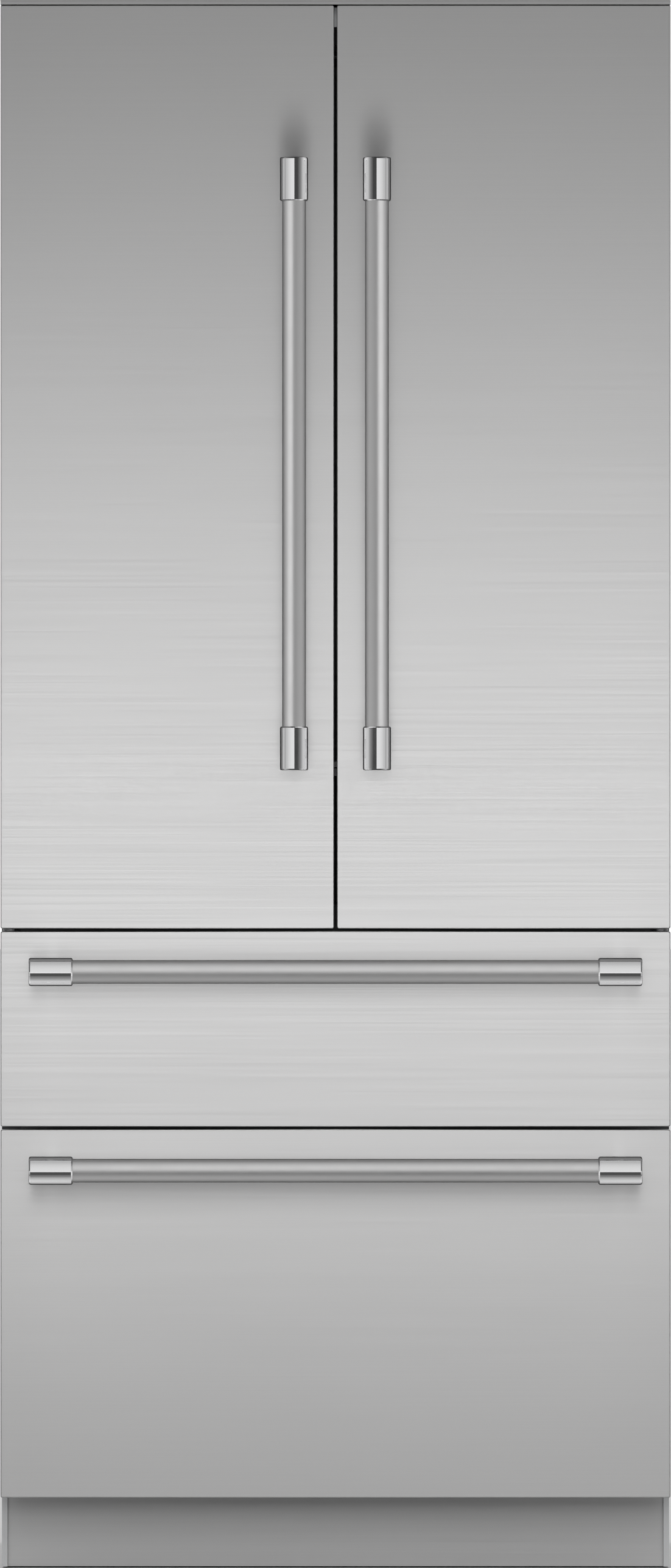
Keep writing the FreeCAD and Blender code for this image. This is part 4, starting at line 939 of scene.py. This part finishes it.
# %% Crisper lips
lip_margin = 0.2  # share of the crisper's width at each side
lip = [(0.1, -16.0), (4.0, -15.0), (7.4, -12.0), (8.6, -8.0), (7.4, -7.6), (5.8, -10.6), (3.2, -12.6),
       (0.1, -13.0)]
for side in ("left", "right"):
    low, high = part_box(side + "_crisper")
    inset = lip_margin * (high.x - low.x)
    line = level_line(low.x + inset, high.x - inset, low.y, high.z)
    add_piece(side + "_crisper_lip", *swept(line, lip), "clear_plastic", side + "_crisper")
print("lip section", len(lip), "points")

# %% [markdown]
# The band of a door bin goes round the bin's two corners and a little way along its sides. Its line is
# made of one arc for each corner, and the same line serves for all three bins of a door.

# %% Bin bands
band = [(0.1, -24.0), (1.3, -23.2), (1.3, -14.8), (0.1, -14.0)]
bin_rows = 3
bin_corner = 0.028
bin_height = 0.112
band_back = 0.020  # how far the band goes along each side of the bin
corner_steps = 6
for side in ("left", "right"):
    low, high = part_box(side + "_door_bins")
    corner_y = high.y - bin_corner
    line = [(Vector((low.x, corner_y - band_back, 0)), Vector((-1, 0, 0)))]
    for centre_x, start in ((low.x + bin_corner, 180), (high.x - bin_corner, 90)):
        for step in range(corner_steps + 1):
            angle = math.radians(start - 90 * step / corner_steps)
            outward = Vector((math.cos(angle), math.sin(angle), 0))
            line.append((Vector((centre_x, corner_y, 0)) + outward * bin_corner, outward))
    line.append((Vector((high.x, corner_y - band_back, 0)), Vector((1, 0, 0))))
    bin_pitch = (high.z - low.z - bin_height) / (bin_rows - 1)
    bands = []
    for row in range(bin_rows):
        top = Vector((0, 0, low.z + bin_height + row * bin_pitch))
        bands.append(swept([(point + top, outward) for point, outward in line], band))
    add_piece(side + "_bin_bands", *merged(bands), "bright_steel", side + "_door")
print("bands on each door", len(bands))

# %% [markdown]
# ## Round fittings
#
# Screws, touch pads and the cord grommet are turned shapes. The next helper turns a profile of (radius,
# height) points round an axis. A third value of True in a point makes that ring a hexagon, which is how a
# screw gets its socket. Blender's Screw modifier turns profiles as well, but can't change the ring's shape.

# %% Turning helper
hexagon_side = math.pi / 3  # the angle that one side of a hexagon spans


def turned(profile, place, axis, scale=1.0, closed=False, sides=24):
    """Turns a profile in millimetres round an axis; a closed one joins its last point to its first."""
    axis = Vector(axis).normalized()
    across = axis.orthogonal().normalized()
    beside = axis.cross(across)
    vertices = []
    for radius, height, *hexagon in profile:
        for side in range(sides):
            angle = 2 * math.pi * side / sides
            reach = radius
            if hexagon:
                off_middle = angle % hexagon_side - hexagon_side / 2
                reach = radius * math.cos(hexagon_side / 2) / math.cos(off_middle)
            spoke = across * math.cos(angle) + beside * math.sin(angle)
            vertices.append(Vector(place) + (spoke * reach + axis * height) * mm * scale)
    rings = len(profile)
    faces = []
    for ring in range(rings if closed else rings - 1):
        here = ring * sides
        there = (ring + 1) % rings * sides
        for side in range(sides):
            after = (side + 1) % sides
            faces.append((here + side, here + after, there + after, there + side))
    if not closed:
        faces += [tuple(range(sides)), tuple(range((rings - 1) * sides, rings * sides))]
    return vertices, faces


print("a hexagon's side spans", round(math.degrees(hexagon_side)), "degrees")

# %% [markdown]
# Screws hold the back panel and the machine cover along their edges. Two smaller ones hold each centre
# hinge. The places are worked out from the boxes of the sheets, at one distance from their edges, so the
# screws stay on the metal when a sheet changes size.

# %% Screws
screw_head = [(4.5, 0.0), (4.5, 0.3), (3.9, 0.75), (2.9, 0.95), (2.1, 0.95, True), (2.1, 0.3, True)]


def screws(name, places, axis, body, scale=1.0):
    """One piece with a screw head at each place; gives back how many there are."""
    heads = [turned(screw_head, place, axis, scale) for place in places]
    add_piece(name, *merged(heads), "bright_steel", body)
    return len(places)


back_low, back_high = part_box("back_panel")
cover_low, cover_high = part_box("machine_cover")
edge = 0.011
spread = 0.21  # the middle to the other screws of a level row
side_rows = 7
back_pitch = (back_high.z - back_low.z - 2 * edge) / (side_rows - 1)
back_places = [(x, back_high.y, back_low.z + edge + back_pitch * row)
               for x in (back_low.x + edge, back_high.x - edge) for row in range(side_rows)]
back_places += [(x, back_high.y, back_high.z - edge) for x in (-spread, 0.0, spread)]
cover_places = [(x, cover_high.y, z) for x in (cover_low.x + edge, cover_high.x - edge)
                for z in (cover_low.z + edge, cover_high.z - edge)]
cover_places += [(x, cover_high.y, cover_high.z - edge) for x in (-spread, 0.0, spread)]
fitted = screws("back_screws", back_places, (0, 1, 0), "cabinet")
fitted += screws("cover_screws", cover_places, (0, 1, 0), "cabinet")

hinge_inset = 0.012  # side of the cabinet to the hinge line
hinge_flange = 0.003
hinge_rise = 0.0072
hinge_scale = 0.8
hinge_x = cad_high.x - hinge_inset
flange_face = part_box("side_panels")[0].y - hinge_flange
flange_middle = (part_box("left_door_panel")[0].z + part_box("upper_drawer_panel")[1].z) / 2
hinge_places = [(side * hinge_x, flange_face, flange_middle + up * hinge_rise)
                for side in (-1, 1) for up in (-1, 1)]
fitted += screws("hinge_screws", hinge_places, (0, -1, 0), "cabinet", hinge_scale)
print("screws on the cabinet", fitted)

# %% [markdown]
# A handle is fixed from below: a set screw in each of its two posts clamps it on a stud of the door. The
# posts stand behind the middle of the polished ends, and the screws ride on the door or drawer.

# %% Set screws
post_radius = 0.013
half_ferrule = 0.0295
screw_setback = 0.012  # door face to the set screw in a handle's post
set_screw_scale = 0.55
screw_y = face_y - screw_setback
for name, body in zip(handle_names, front_names):
    low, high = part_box(name + "_handle_ends")
    middle = (low + high) / 2
    if name in ("left", "right"):
        posts = [(middle.x, screw_y, z - post_radius) for z in (low.z + half_ferrule, high.z - half_ferrule)]
    else:
        posts = [(x, screw_y, middle.z - post_radius) for x in (low.x + half_ferrule, high.x - half_ferrule)]
    fitted += screws(name + "_set_screws", posts, (0, 0, -1), body, set_screw_scale)
print("screws with those of the handles", fitted)

# %% [markdown]
# The control panel hangs under the fridge's ceiling, with a sloped face that looks down at the user. Its
# five touch pads are shallow dishes that stand square to that slope.

# %% Touch pads
pad = [(7.0, 0.0), (7.0, 0.5), (6.4, 0.8), (5.2, 0.8), (4.9, 0.4), (3.0, 0.4), (2.6, 0.6)]
pad_pitch = 0.04
pads_aside = 2  # on each side of the middle one
pad_along = 0.3  # share of the slope from its front
control_low, control_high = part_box("control_panel")
control_height = 0.022
control_front = control_height / 3
slope = Vector((0, control_high.y - control_low.y, control_front - control_height))
facing = Vector((0, slope.z, -slope.y))
pad_line = Vector((0, control_low.y, control_high.z - control_front)) + slope * pad_along
pads = [turned(pad, pad_line + Vector((pad_pitch * place, 0, 0)), facing)
        for place in range(-pads_aside, pads_aside + 1)]
add_piece("control_pads", *merged(pads), "light_diffuser", "cabinet")
print("pads", len(pads))

# %% [markdown]
# The power cord leaves the machine space through a rubber grommet, which keeps the sheet's edge from
# cutting it. Its profile is closed, so it comes out as a ring with a hole for the cord.

# %% Cord grommet
grommet = [(3.6, 0.0), (5.9, 0.0), (5.9, 9.05), (7.6, 9.05), (7.6, 10.4), (4.4, 11.0), (3.6, 10.4)]
gland_inset = 0.074  # side of the cabinet to the cord's gland
gland_rise = 0.0375  # lower edge of the machine cover to the gland
gland = (cad_high.x - gland_inset, cover_high.y, cover_low.z + gland_rise)
add_piece("cord_grommet", *turned(grommet, gland, (0, -1, 0), closed=True), "gasket_rubber", "cabinet")
print("grommet at", [round(value, 3) for value in gland])
